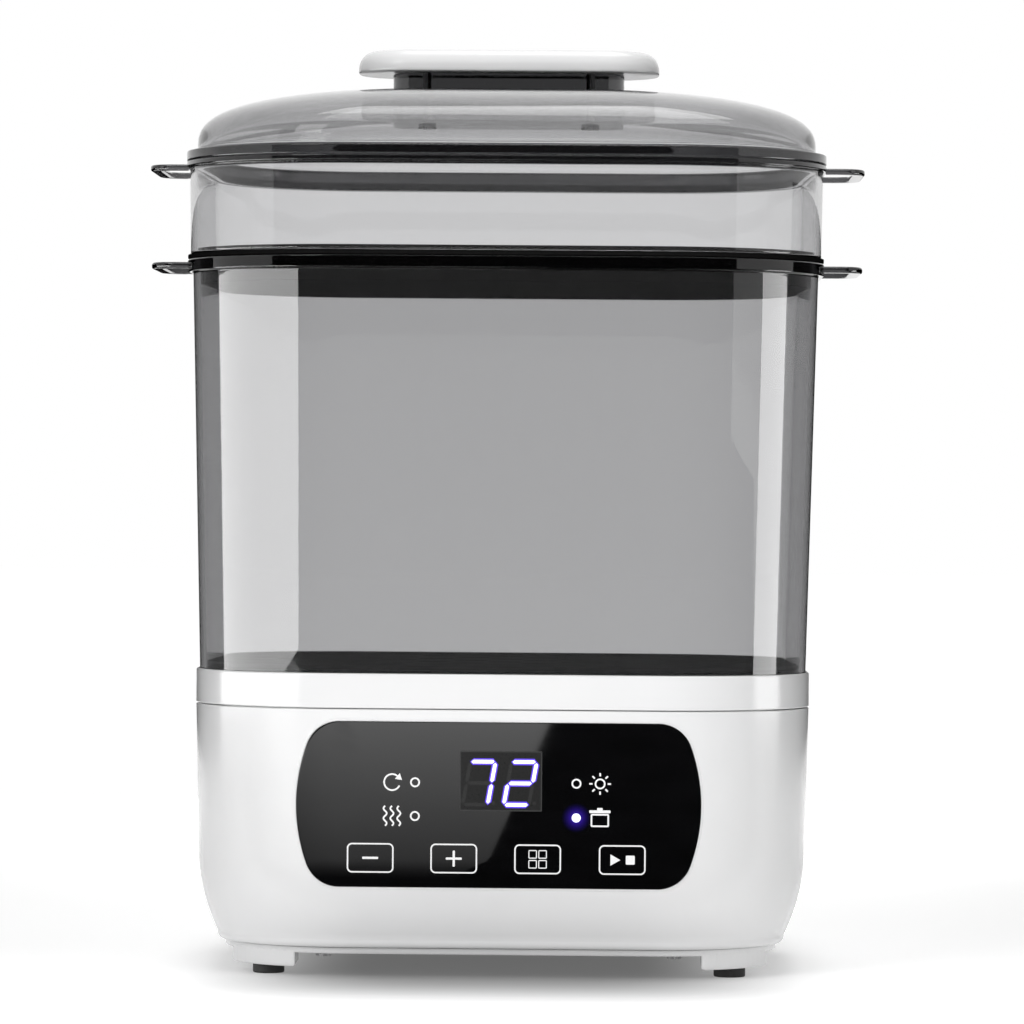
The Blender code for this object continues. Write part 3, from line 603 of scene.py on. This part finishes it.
def base_top_cover():
    """Rim, groove for the chamber, steam tray, and the floor that closes in to the round pan hole."""
    tray_half, pan_radius, pan_centre, floor_bottom = 0.1241, 0.050, np.array([0, -0.005]), FLOOR_TOP - 0.0025
    above = softened([
        (0.1300, floor_bottom), (0.1300, RIM_BOTTOM), (BASE_HALF, RIM_BOTTOM), (BASE_HALF, RIM_TOP),
        (0.1319, RIM_TOP), (0.1319, CHAMBER_BOTTOM - 0.0003), (0.1285, CHAMBER_BOTTOM - 0.0003),
        (0.1285, RIM_TOP), (tray_half, RIM_TOP), (tray_half, FLOOR_TOP), (tray_half - 0.006, FLOOR_TOP)],
        [0.0, 0.0004, 0.0010, 0.0003, 0.0002, 0.0002, 0.0003, 0.0012, 0.0018])
    rim = carried(above)
    hole = pan_centre + pan_radius * compass(np.arctan2(rim[-1, :, 1] - pan_centre[1], rim[-1, :, 0]))
    share = np.linspace(0, 1, 12)[1:, None, None]
    floor = rim[-1, None, :, :2] * (1 - share) + hole[None] * share
    under = rim[0, None, :, :2] * share + hole[None] * (1 - share)
    top = raised(floor, np.full(11, FLOOR_TOP))
    bottom = raised(np.concatenate([hole[None], under[:-1]]), np.full(11, floor_bottom))
    cover = tube(np.concatenate([rim, top, bottom]))
    curb = rounded(np.array([0.012, 0.012, 0.0105, 0.0105]), np.array([0.014, 0.014, 0.0125, 0.0125]),
                   np.array([0.001, 0.001, 0.0004, 0.0004]))
    sleeve = tube(raised(curb + [-0.065, 0.080], [0.1126, 0.1200, 0.1200, 0.1126]))
    build("base_top_cover_finish", [cover, sleeve], WHITE, "base", ["base_top_cover"])


def leg(side_x, side_y, half, low, high):
    """A corner leg: the plan beyond two straight cuts, its corners rounded, drawn in at the foot."""
    half_y, radius = half - DEPTH_LESS, CORNER + half - BASE_HALF
    centre = np.array([half - radius, half_y - radius])
    cut = np.array([0.0866, 0.062])
    first = math.asin((cut[1] - centre[1]) / radius)
    last = math.acos((cut[0] - centre[0]) / radius)
    bend = centre + radius * compass(np.linspace(first, last, 13))
    plan = softened_ring(np.concatenate([cut[None], bend]), [0.002, 0.0015] + [0.0002] * 11 + [0.0015])
    middle = plan.mean(0)
    share, level = np.array([(0.90, low), (0.965, low + 0.0002), (0.995, low + 0.0008), (1, low + 0.0016),
                             (1, high)]).T
    flat = middle + (plan - middle) * share[:, None, None]
    return capped(raised(flat * [side_x, side_y], level))


def bottom_cover():
    """Floor of the base with a leg at each corner."""
    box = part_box("bottom_cover")
    half, low, high = box[1].x, box[0].z, box[1].z
    deep, bottom, edge = half - DEPTH_LESS, 0.0101, 0.0006
    half_x, half_y, corner, level = np.array([
        (0.04, 0.03, 0.02, bottom), (half - edge, deep - edge, 0.0538, bottom),
        (half, deep, 0.0544, bottom + edge), (half, deep, 0.0544, high), (0.04, 0.03, 0.02, high)]).T
    plate = capped(raised(rounded(half_x, half_y, corner), level))
    legs = [leg(x, y, half, low, 0.0112) for x in (-1, 1) for y in (-1, 1)]
    build("bottom_cover_finish", [plate, *legs], WHITE, "base", ["bottom_cover"])


def rubber_feet():
    """Four moulded feet: a rounded disc with a shallow cup in its underside."""
    for name in ("rear_right", "rear_left", "front_left", "front_right"):
        low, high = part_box("rubber_foot_" + name)
        centre, radius = ((low.x + high.x) / 2, (low.y + high.y) / 2), (high.x - low.x) / 2
        profile = softened([(0.001, 0.0006), (0.0040, 0.0006), (0.0046, 0.0), (radius, 0.0), (radius, high.z),
                            (0.001, high.z)], [0.0003, 0.0003, 0.0009, 0.0003])
        build("foot_" + name, [turned(profile, centre)], RUBBER, "base", ["rubber_foot_" + name])


# ---------------------------------------------------------------- tiers, trays and lid

def loop_handle(side, inner_x, outer_x, low, high):
    """A flat loop: a rounded bar section carried along a path out from the flange, across and back.

    The path is a rounded U; at each of its points the section lies across the path's direction.
    """
    bar, bend = 0.0055, 14
    out, deep = outer_x - bar / 2, 0.035 - bar / 2
    path = softened([(inner_x, -deep), (out, -deep), (out, deep), (inner_x, deep)], 0.0105, bend, hold=0)
    start, stop = path[:bend + 2], path[-bend - 2:]
    path = np.concatenate([start, np.linspace(start[-1], stop[0], 12)[1:-1], stop])
    along = np.gradient(path, axis=0)
    along /= np.linalg.norm(along, axis=1, keepdims=True)
    across = np.stack([along[:, 1], -along[:, 0]], 1)
    middle = (low + high) / 2
    half = np.array([bar / 2, (high - low) / 2])
    section = rounded(half[0], half[1], 0.0009, outline_terms(5, 2))[0]
    flat = path[:, None, :] + across[:, None, :] * section[None, :, :1]
    level = np.broadcast_to(middle + section[None, :, 1:], flat.shape[:2] + (1,))
    return capped(np.concatenate([flat * [side, 1], level], 2))


def lower_chamber():
    """Tall smoked wall with a rounded foot and a top flange."""
    low_half, high_half, flange_low = 0.13155, 0.1358, CHAMBER_TOP - 0.0054
    profile = softened_ring([
        (low_half, CHAMBER_BOTTOM), (high_half, flange_low), (CHAMBER_FLANGE, flange_low),
        (CHAMBER_FLANGE, CHAMBER_TOP), (high_half - WALL, CHAMBER_TOP), (low_half - WALL, CHAMBER_BOTTOM)],
        [0.0008, 0.0006, 0.0006, 0.0006, 0.0006, 0.0008])
    loops = [loop_handle(s, CHAMBER_FLANGE + FLANGE_TOE, CHAMBER_LOOP, 0.3038, 0.3066) for s in (-1, 1)]
    build("lower_chamber_finish", [tube(carried(profile)), *loops], SMOKED, "chamber", ["lower_chamber"])


def upper_tier():
    """Low smoked wall with a top flange."""
    flange_low = TIER_TOP - 0.0025
    profile = softened_ring([
        (0.1370, TIER_BOTTOM), (0.1376, flange_low), (TIER_FLANGE, flange_low), (TIER_FLANGE, TIER_TOP),
        (0.1376 - WALL, TIER_TOP), (0.1370 - WALL, TIER_BOTTOM)],
        [0.0008, 0.0005, 0.0006, 0.0006, 0.0006, 0.0008])
    loops = [loop_handle(s, TIER_FLANGE + FLANGE_TOE, TIER_LOOP, 0.3466, 0.3492) for s in (-1, 1)]
    build("upper_tier_finish", [tube(carried(profile)), *loops], SMOKED_LIGHT, "tier", ["upper_tier"])


def dome_height(share, drop=0.0):
    """Height of the dome at a share of its full plan: a flattened power curve."""
    rise = (1 - np.clip(share, 0, 1) ** DOME_FALL) ** DOME_RISE
    return DOME_BOTTOM + (DOME_TOP - DOME_BOTTOM) * rise - drop


def dome_rows(full, drop):
    """Outlines of the dome from its edge to near its middle, close together where it turns down."""
    rise = np.sin(np.linspace(0, math.pi / 2 * 0.985, 40))
    share = (1 - rise ** (1 / DOME_RISE)) ** (1 / DOME_FALL)
    radius = CORNER + DOME_HALF - BASE_HALF
    size = share * full
    flat = rounded(size * DOME_HALF, size * (DOME_HALF - DEPTH_LESS), size * radius)
    return raised(flat, dome_height(share, drop))


def lid_dome():
    """Domed smoked shell with a stepped rim and a skirt that drops into the tier."""
    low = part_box("lid_dome")[0].z
    bottom = TIER_TOP + 0.0003
    inner = dome_rows((DOME_HALF - WALL) / DOME_HALF, WALL)[::-1]
    rim = carried(softened([
        (0.1318, 0.3520), (0.1318, low), (0.1344, low), (0.1344, bottom), (TIER_FLANGE, bottom),
        (TIER_FLANGE, 0.3540), (DOME_HALF + 0.0008, 0.3540), (DOME_HALF, 0.3550)],
        [0.0005, 0.0005, 0.0003, 0.0005, 0.0006, 0.0004]))
    shell = capped(np.concatenate([inner, rim, dome_rows(1.0, 0.0)]))
    build("lid_dome_finish", [shell], SMOKED_LID, "lid", ["lid_dome"])


def lid_pedestal():
    """Smoked block under the handle: its foot follows the dome and flares a little."""
    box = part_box("lid_pedestal")
    half_x, half_y, top = box[1].x, box[1].y, box[1].z
    sizes = np.array([-0.03, -0.002, 0.0, 0.0, 0.0, 0.0, -0.0003, -0.0008, -0.003, -0.018])
    grow = np.maximum(sizes, 0.002 - half_y)
    flat = rounded(half_x + sizes, half_y + grow, np.maximum(0.013 + grow, 0.001))
    share = np.maximum(np.abs(flat[..., 0]) / DOME_HALF, np.abs(flat[..., 1]) / (DOME_HALF - DEPTH_LESS))
    level = np.full(flat.shape[:2], top)
    level[:4] = dome_height(share[:4]) + np.array([0.0003, 0.0003, 0.0006, 0.0010])[:, None]
    level[4:7] = top - np.array([0.0012, 0.0008, 0.0002])[:, None]
    grid = np.concatenate([flat, level[..., None]], 2)
    build("lid_pedestal_finish", [capped(grid)], SMOKED_LIGHT, "lid", ["lid_pedestal"])


def lid_handle():
    """White plate: short undercut below, flat top, and an edge that is a quarter of an ellipse."""
    half_x, half_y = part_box("lid_handle")[1].x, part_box("lid_handle")[1].y
    turn = quarter_turn(14)
    edge_z = HANDLE_BOTTOM + 0.0016
    side = np.stack([0.0070 * (1 - np.cos(turn)), edge_z + (HANDLE_TOP - edge_z) * np.sin(turn)], 1)
    inner = np.array([[0.022, HANDLE_BOTTOM], [0.010, HANDLE_BOTTOM], [0.0006, HANDLE_BOTTOM],
                      [0.0002, HANDLE_BOTTOM + 0.0002], [0.0, HANDLE_BOTTOM + 0.0006]])
    top = np.array([[0.010, HANDLE_TOP], [0.016, HANDLE_TOP], [0.023, HANDLE_TOP]])
    inset, level = np.concatenate([inner, side, top]).T
    flat = rounded(half_x - inset, half_y - inset, np.maximum(0.024 - inset, 0.0005))
    build("lid_handle_finish", [capped(raised(flat, level))], WHITE, "lid", ["lid_handle"])


def hole_middles(keep_half):
    """Middles of the staggered oval holes that fit wholly inside a rounded rectangle."""
    column, row = np.meshgrid(np.arange(-5, 6), np.arange(-5, 6))
    x, y = SLOT_PITCH[0] * (column + 0.5 * (row % 2)), SLOT_PITCH[1] * row
    corner = CORNER - (BASE_HALF - keep_half)
    into_x = np.maximum(np.abs(x) + SLOT_HALF[0] - (keep_half - corner), 0)
    into_y = np.maximum(np.abs(y) + SLOT_HALF[1] - (keep_half - DEPTH_LESS - corner), 0)
    inside = np.hypot(into_x, into_y) <= corner
    inside &= np.abs(row) <= int((keep_half - DEPTH_LESS) / SLOT_PITCH[1])
    return np.stack([x[inside], y[inside]], 1)


def perforated_plate(name, half, keep_half, low, high):
    """A flat plate with staggered oval holes: closed outlines, filled, thickened and edged by the curve."""
    curve = bpy.data.curves.new(name, "CURVE")
    curve.dimensions, curve.fill_mode = "2D", "BOTH"
    edge = 0.0004
    curve.extrude, curve.bevel_depth, curve.bevel_resolution = (high - low) / 2 - edge, edge, 2
    curve.offset = -edge
    oval = rounded(*SLOT_HALF, 0.00418, outline_terms(6, 2))[0]
    outline = rounded(half, half - DEPTH_LESS, CORNER + half - BASE_HALF)[0]
    for points in [outline, *(oval + middle for middle in hole_middles(keep_half))]:
        spline = curve.splines.new("POLY")
        spline.points.add(len(points) - 1)
        flat = np.concatenate([points, np.zeros((len(points), 1)), np.ones((len(points), 1))], 1)
        spline.points.foreach_set("co", flat.ravel())
        spline.use_cyclic_u = True
    holder = placed(name, curve)
    mesh = bpy.data.meshes.new_from_object(holder.evaluated_get(bpy.context.evaluated_depsgraph_get()))
    bpy.data.objects.remove(holder)
    mesh.transform(Matrix.Translation(Vector((0, 0, (low + high) / 2))))
    return mesh


def bottle_rack():
    """Black perforated floor of the chamber, standing on a short rim."""
    low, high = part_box("bottle_rack")
    half = high.x
    plate = perforated_plate("bottle_rack_plate", half, 0.122, high.z - 0.0020, high.z)
    # The plate takes the paler black, with its painted light.
    finished("bottle_rack_plate", plate, BLACK_PLATE_PAINTED_LIGHT, "rack", ["bottle_rack"])
    rim = softened_ring([(half, low.z), (half, high.z - 0.0019), (half - 0.002, high.z - 0.0019),
                         (half - 0.002, low.z)], 0.0003, 3)
    build("bottle_rack_rim", [tube(carried(rim))], BLACK, "rack", ["bottle_rack"])


def middle_tray():
    """Black perforated tray: flange on the chamber, skirt hanging inside it, low rim for the tier."""
    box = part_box("middle_tray")
    bottom, top = CHAMBER_TOP + 0.0003, TIER_BOTTOM - 0.0003
    plate = perforated_plate("middle_tray_plate", CHAMBER_FLANGE, 0.124, bottom, top)
    finished("middle_tray_plate", plate, BLACK, "tray", ["middle_tray"])
    skirt = softened_ring([(0.1326, box[0].z), (0.1326, bottom + 0.0001), (0.1308, bottom + 0.0001),
                           (0.1308, box[0].z)], 0.0004, 3)
    rim = softened_ring([(0.1341, top - 0.0001), (0.1341, box[1].z), (0.1324, box[1].z),
                         (0.1324, top - 0.0001)], 0.0004, 3)
    build("middle_tray_walls", [tube(carried(skirt)), tube(carried(rim))], BLACK, "tray", ["middle_tray"])


# ---------------------------------------------------------------- legends on the panel

INK_HEIGHT, INK_SUNK = 0.00008, 0.00005


def ink_plate(outline, height=INK_HEIGHT):
    """A thin closed plate on the panel from a convex outline of (x, z) about the panel's centre."""
    outline = np.asarray(outline, float)
    middle = outline.mean(0)
    rows = [middle + (outline - middle) * share for share in (0.5, 1.0, 1.0, 0.5)]
    out = PANEL_PROUD + np.array([-INK_SUNK, -INK_SUNK, height, height])
    return capped(on_front(np.stack(rows), out))


def ink_ring(outer, inner):
    """A thin closed band on the panel between two outlines with the same number of points."""
    rows = np.stack([outer, outer, inner, inner])
    return tube(on_front(rows, PANEL_PROUD + np.array([-INK_SUNK, INK_HEIGHT, INK_HEIGHT, -INK_SUNK])))


def ink_stroke(path, width=0.0006):
    """A band of even width along an open path."""
    path = np.asarray(path, float)
    along = np.gradient(path, axis=0)
    along /= np.linalg.norm(along, axis=1, keepdims=True)
    across = np.stack([-along[:, 1], along[:, 0]], 1) * width / 2
    left, right = path + across, path - across
    out = PANEL_PROUD + np.array([-INK_SUNK, INK_HEIGHT])
    low_left, high_left = on_front(np.stack([left, left]), out)
    low_right, high_right = on_front(np.stack([right, right]), out)
    return capped(np.stack([low_left, high_left, high_right, low_right], 1))


def circle(radius, centre=(0, 0), count=40):
    """Points round a circle."""
    return np.asarray(centre) + radius * compass(full_turn(count))


def frame_ring(centre, half_x, half_z, corner, line):
    """The outline of a key: a rounded rectangle band."""
    terms = outline_terms(8, 8)
    outer = rounded(half_x, half_z, corner, terms)[0] + centre
    inner = rounded(half_x - line, half_z - line, max(corner - line, 0.00015), terms)[0] + centre
    return ink_ring(outer, inner)


SLANT = math.tan(math.radians(10))
SEGMENTS = {"top": (0, 1), "middle": (0, 0), "bottom": (0, -1), "upper_left": (-1, 0.5),
            "upper_right": (1, 0.5), "lower_left": (-1, -0.5), "lower_right": (1, -0.5)}
LIT = {0: ("top", "upper_right", "lower_right"), 1: ("top", "upper_right", "middle", "lower_left", "bottom")}


def digit_segment(centre, place, grow=0.0):
    """One bar of a seven-segment digit: a long hexagon, sheared by the slant of the digit."""
    width, height, half_bar, gap = 0.0053, 0.0091, 0.00078, 0.0004
    across, up = place[0] * width, place[1] * height
    length = (width if place[0] == 0 else height / 2) - gap + grow
    half = half_bar + grow
    bar = np.array([(-length, 0), (-length + half, half), (length - half, half), (length, 0),
                    (length - half, -half), (-length + half, -half)])
    if place[0]:
        bar = bar[:, ::-1]
    bar = bar + (across, up)
    return bar @ np.array([[1, 0], [SLANT, 1]]) + centre


def display():
    """Window with a grey frame, two slanted seven-segment digits and their dots."""
    centre = np.array([0.0010, 0.0103])
    terms = outline_terms(3, 6)
    window = rounded(0.01745, 0.01275, 0.0004, terms)[0] + centre
    inner = rounded(0.01690, 0.01220, 0.0003, terms)[0] + centre
    build("display_frame", [ink_ring(window, inner)], FRAME_INK, "base")
    build("display_window", [ink_plate(inner, 0.00002)], WINDOW_INK, "base")
    unlit, lit, glow = [], [], []
    for digit, at_x in enumerate((-0.0082, 0.0092)):
        for name, place in SEGMENTS.items():
            at = (at_x, 0.0094)
            if name in LIT[digit]:
                lit.append(ink_plate(digit_segment(at, place), 0.00011))
                glow.append(ink_plate(digit_segment(at, place, 0.00060), 0.00006))
            else:
                unlit.append(ink_plate(digit_segment(at, place), 0.00006))
        unlit.append(ink_plate(circle(0.0008, (at_x + 0.0061, 0.0010), 20), 0.00006))
    build("display_unlit_segments", unlit, UNLIT_INK, "base")
    build("display_glow", glow, GLOW_INK, "base")
    build("display_lit_segments", lit, LIT_INK, "base")


RING_MARKS = [(-0.0353, 0.0095), (-0.0353, -0.0048), (0.0330, 0.0095)]
LIT_MARK = (0.0330, -0.0050)
KEY_MIDDLES = [(-0.0541, -0.0227), (-0.0187, -0.0227), (0.0168, -0.0227), (0.0526, -0.0227)]


def arc(radius, start, stop, centre):
    """Points along part of a circle, between two angles in degrees."""
    return np.asarray(centre) + radius * compass(np.radians(np.linspace(start, stop, 30)))


def small_block(half_x, half_z, corner):
    """The outline of a small rounded rectangle."""
    return rounded(half_x, half_z, corner, outline_terms(3, 4))[0]


def mode_icons():
    """Four plain pictograms: a turning arrow, steam, a sun and a lidded box."""
    auto, steam, sun, store = (np.array(at) for at in
                               [(-0.0450, 0.0095), (-0.0450, -0.0048), (0.0430, 0.0095), (0.0430, -0.0050)])
    line, first, last = 0.0007, 50, 335
    ray = compass(math.radians(first))
    ahead = ray[::-1] * [1, -1]
    made = [ink_stroke(arc(0.0034, first, last, auto), line),
            ink_plate(auto + np.array([0.0050 * ray, 0.0018 * ray, 0.0034 * ray + 0.0026 * ahead]))]
    rise = np.linspace(-0.0042, 0.0042, 24)
    sway = 0.0007 * np.sin(rise / 0.0084 * 4 * math.pi)
    for x in (-0.0029, 0, 0.0029):
        made.append(ink_stroke(steam + np.stack([sway + x, rise], 1), line))
    made.append(ink_ring(circle(0.0023, sun), circle(0.0016, sun)))
    reach = np.linspace(0.0032, 0.0046, 3)[:, None]
    made += [ink_stroke(sun + reach * ray, line) for ray in compass(full_turn(8))]
    made.append(frame_ring(store + (0, -0.0010), 0.0039, 0.0028, 0.0007, line))
    made.append(ink_plate(small_block(0.0045, 0.0006, 0.0003) + store + (0, 0.0027)))
    made.append(ink_plate(small_block(0.0012, 0.0005, 0.0003) + store + (0, 0.0038)))
    return made


def legends():
    """Ring marks, keys with their signs, and the mode pictograms, all in white ink with a faint painted glow.
    """
    made = [ink_ring(circle(0.0021, at), circle(0.0014, at)) for at in RING_MARKS]
    made += [frame_ring(np.array(at), 0.0099, 0.00630, 0.0022, 0.00062) for at in KEY_MIDDLES]
    minus, plus, modes, start = (np.array(at) for at in KEY_MIDDLES)
    bar = small_block(0.0034, 0.00048, 0.0003)
    made += [ink_plate(bar + minus), ink_plate(bar + plus), ink_plate(bar[:, ::-1] + plus, 0.00007)]
    for x in (-0.0021, 0.0021):
        for z in (-0.0021, 0.0021):
            made.append(frame_ring(modes + (x, z), 0.0018, 0.0018, 0.0005, 0.0004))
    made.append(ink_plate(start + np.array([(-0.0050, 0.0024), (-0.0050, -0.0024), (-0.0008, 0.0)])))
    made.append(ink_plate(small_block(0.0019, 0.0019, 0.0004) + start + (0.0034, 0)))
    build("panel_legends", made + mode_icons(), WHITE_INK_PAINTED_GLOW, "base")
    build("lit_mark_halo", [ink_plate(circle(0.0066, LIT_MARK), 0.00003)], HALO, "base")
    build("lit_mark", [ink_plate(circle(0.0019, LIT_MARK), 0.00010)], LIT_INK, "base")


# The white ink glows faintly: painted light that keeps the printed legends bright, though print is no lamp.
WHITE_INK_PAINTED_GLOW = legend_ink("white_ink_painted_glow", (0.85, 0.85, 0.85), 0.10)
FRAME_INK = legend_ink("frame_ink", (0.045, 0.045, 0.045))
WINDOW_INK = legend_ink("window_ink", (0.016, 0.016, 0.016))
UNLIT_INK = legend_ink("unlit_ink", (0.030, 0.030, 0.030))
LIT_INK = legend_ink("lit_ink", (0.80, 0.80, 0.95), 0.85, (0.72, 0.70, 1.0))
GLOW_INK = legend_ink("glow_ink", (0.05, 0.03, 0.30), 0.95, (0.10, 0.04, 0.75))
HALO = halo("lit_mark_glow", (LIT_MARK[0], LIT_MARK[1] + PANEL_CENTRE), 0.0066, (0.06, 0.02, 0.60), 0.9)

base_shell()
control_panel()
base_top_cover()
bottom_cover()
rubber_feet()
bottle_rack()
lower_chamber()
middle_tray()
upper_tier()
lid_dome()
lid_pedestal()
lid_handle()
display()
legends()


# ---------------------------------------------------------------- studio

ALL_RAYS = ("camera", "diffuse", "glossy", "transmission", "shadow")


def stage_sheet(name, corners, material, lights=ALL_RAYS):
    """A flat sheet of the studio, from four corners, cut into a grid; lights names the rays it acts on."""
    a, b, c, d = (np.asarray(corner, float) for corner in corners)
    side = 9
    u, v = np.meshgrid(np.linspace(0, 1, side), np.linspace(0, 1, side))
    u, v = u[..., None], v[..., None]
    points = ((1 - u) * (1 - v) * a + u * (1 - v) * b + u * v * c + (1 - u) * v * d).reshape(-1, 3)
    first = np.arange(side * side).reshape(side, side)[:-1, :-1].ravel()
    quads = np.stack([first, first + 1, first + side + 1, first + side], 1)
    mesh = meshed(name, points, quads)
    mesh.materials.append(material)
    made = placed(name, mesh)
    for ray in ALL_RAYS:
        setattr(made, "visible_" + ray, ray in lights)
    made.visible_volume_scatter = False


# Size, offset and shape of the shadow painted on the floor under the product.
PAINTED_SHADOW_SIZE = 0.215
PAINTED_SHADOW_BACK = 0.012
PAINTED_SHADOW_SHAPE = {"X": 1.36, "Y": 0.92}


def floor_material():
    """Pale floor with a painted shadow: a soft patch under the product is painted darker and glows less,
    standing in for the shade where little light reaches.

    The patch is a superellipse: the fourth root of the sum of the fourth powers of X and Y, each in units
    of the patch and its shape, runs smoothly from dark inside to pale outside.
    """
    made = Finish("studio_floor_painted_shadow")
    spot = made.node("Mapping", Vector=made.place, Scale=(1 / PAINTED_SHADOW_SIZE, 1 / PAINTED_SHADOW_SIZE, 0),
                     Location=(0, PAINTED_SHADOW_BACK / PAINTED_SHADOW_SIZE, 0)).outputs["Vector"]
    split = made.node("SeparateXYZ", Vector=spot)
    sizes = [made.worked("MULTIPLY", split.outputs[axis], grow) for axis, grow in PAINTED_SHADOW_SHAPE.items()]
    powers = [made.worked("POWER", made.worked("ABSOLUTE", size), 4.0) for size in sizes]
    size = made.worked("POWER", made.worked("ADD", *powers), 0.25)
    edge = made.ranged(size, 0.0, 1.0, (0.36, 0.98), "SMOOTHSTEP")
    # Painted shadow: the floor's colour and glow are both lower inside the patch.
    made.surface(Base_Color=made.shaded(edge, (0.26, 0.26, 0.26), (0.90, 0.90, 0.90), (0, 1)),
                 Roughness=0.9, Specular_IOR_Level=0.0, Emission_Color=(1, 1, 1, 1),
                 Emission_Strength=made.ranged(edge, 0.11, 0.44, (0, 1)))
    return made.material


def card_material(name, glow):
    """A studio card: black if it gives no light, or an even soft panel of light."""
    made = Finish(name)
    made.surface(Base_Color=made.shaded(made.noise(3.0), (0.004, 0.004, 0.004), (0.006, 0.006, 0.006)),
                 Specular_IOR_Level=0.0, Emission_Color=(1, 1, 1, 1), Emission_Strength=glow)
    return made.material


def fading_material():
    """A studio card whose light grows evenly with its distance in front of the product."""
    made = Finish("fading_card")
    made.surface(Base_Color=(0.005, 0.005, 0.005, 1), Specular_IOR_Level=0.0, Emission_Color=(1, 1, 1, 1),
                 Emission_Strength=made.ranged(made.coordinate("Y"), 2.45, 0.0, (-1.42, -0.25)))
    return made.material


def softbox(name, place, target, size, power):
    """A large soft lamp that faces its target."""
    lamp = bpy.data.lights.new(name, "AREA")
    lamp.shape, lamp.size, lamp.size_y, lamp.energy = "RECTANGLE", size[0], size[1], power
    made = placed(name, lamp)
    direction = Vector(target) - Vector(place)
    made.rotation_euler = direction.to_track_quat("-Z", "Y").to_euler()
    made.location = place
    made.visible_camera = False


def lying(west, east, near, far, height):
    """Corners of a level rectangle."""
    return [(west, near, height), (east, near, height), (east, far, height), (west, far, height)]


def standing(start, stop, low, high):
    """Corners of an upright rectangle over the line from start to stop."""
    return [(*start, low), (*stop, low), (*stop, high), (*start, high)]


GLOSS_ONLY = ("glossy",)
SHEET_LIFT = 0.001


def studio():
    """Pale floor, even white surroundings, dark cards at the sides and in front, soft lamps."""
    stage_sheet("floor", lying(-12, 12, -12, 12, 0), floor_material())
    dark, bright = card_material("dark_card", 0.0), card_material("light_strip", 7.0)
    stage_sheet("far_floor", lying(-12, 12, 1.3, 12, SHEET_LIFT / 2), card_material("far_floor", 1.0))
    for side, near, far in ((-1, -0.75, 0.10), (1, -0.17, 0.055)):
        card_x, strip_x = side * 0.33, side * 0.60
        stage_sheet("side_card", standing((card_x, -0.22), (card_x, 0.70), 0, 0.9), dark, ("diffuse", "shadow"))
        stage_sheet("side_strip", standing((strip_x, near), (strip_x, far), 0.08, 0.305), bright, GLOSS_ONLY)
        stage_sheet("rear_card", standing((side * 0.62, far + 0.02), (side * 0.25, 1.40), 0.05, 0.36),
                    dark, GLOSS_ONLY)
    left_near, left_far = (-0.0245, -0.15, SHEET_LIFT), (0.0100, -1.42, SHEET_LIFT)
    stage_sheet("front_floor_card", [left_near, (1.2, -0.15, SHEET_LIFT), (6.0, -1.42, SHEET_LIFT), left_far],
                dark, GLOSS_ONLY)
    stage_sheet("front_floor_glow", [(-1.2, -0.20, SHEET_LIFT), left_near, left_far, (-1.2, -1.42, SHEET_LIFT)],
                fading_material(), GLOSS_ONLY)
    stage_sheet("far_floor_card", lying(-6.0, 6.0, -1.42, -4.0, SHEET_LIFT), dark, GLOSS_ONLY)
    stage_sheet("front_card", standing((-6.0, -4.0), (6.0, -4.0), 0, 2.6), dark, GLOSS_ONLY)
    softbox("key_lamp", (-1.5, -2.2, 1.7), (0, 0, 0.15), (1.0, 1.4), 13)
    softbox("top_lamp", (0.2, 0.3, 2.2), (0, 0, 0.2), (1.2, 1.2), 12)
    world = bpy.data.worlds.new("studio_surroundings")
    world.use_nodes = True
    world.node_tree.nodes["Background"].inputs["Color"].default_value = (1.0, 1.0, 1.0, 1)
    world.node_tree.nodes["Background"].inputs["Strength"].default_value = 1.0
    bpy.context.scene.world = world
    bpy.context.scene.view_settings.view_transform = "Standard"


def camera():
    """A long lens at the height of the chamber, a little right of square on and barely rolled."""
    yaw, pan, pitch, roll, distance, height = 0.0202, 0.0011, -0.0035, 0.0079, 2.484, 0.2071
    aim = yaw - pan
    forward = Vector((-math.sin(aim) * math.cos(pitch), math.cos(aim) * math.cos(pitch), math.sin(pitch)))
    level = Vector((math.cos(aim), math.sin(aim), 0))
    upward = level.cross(forward)
    right = level * math.cos(roll) + upward * math.sin(roll)
    upward = upward * math.cos(roll) - level * math.sin(roll)
    turn = Matrix((right, upward, -forward)).transposed()
    lens = bpy.data.cameras.new("camera")
    lens.sensor_width, lens.lens = 36.0, 197.4
    lens.clip_start, lens.clip_end = 0.1, 60.0
    made = placed("camera", lens)
    place = Vector((distance * math.sin(yaw), -distance * math.cos(yaw), height))
    made.matrix_world = Matrix.Translation(place) @ turn.to_4x4()
    bpy.context.scene.camera = made


studio()
camera()
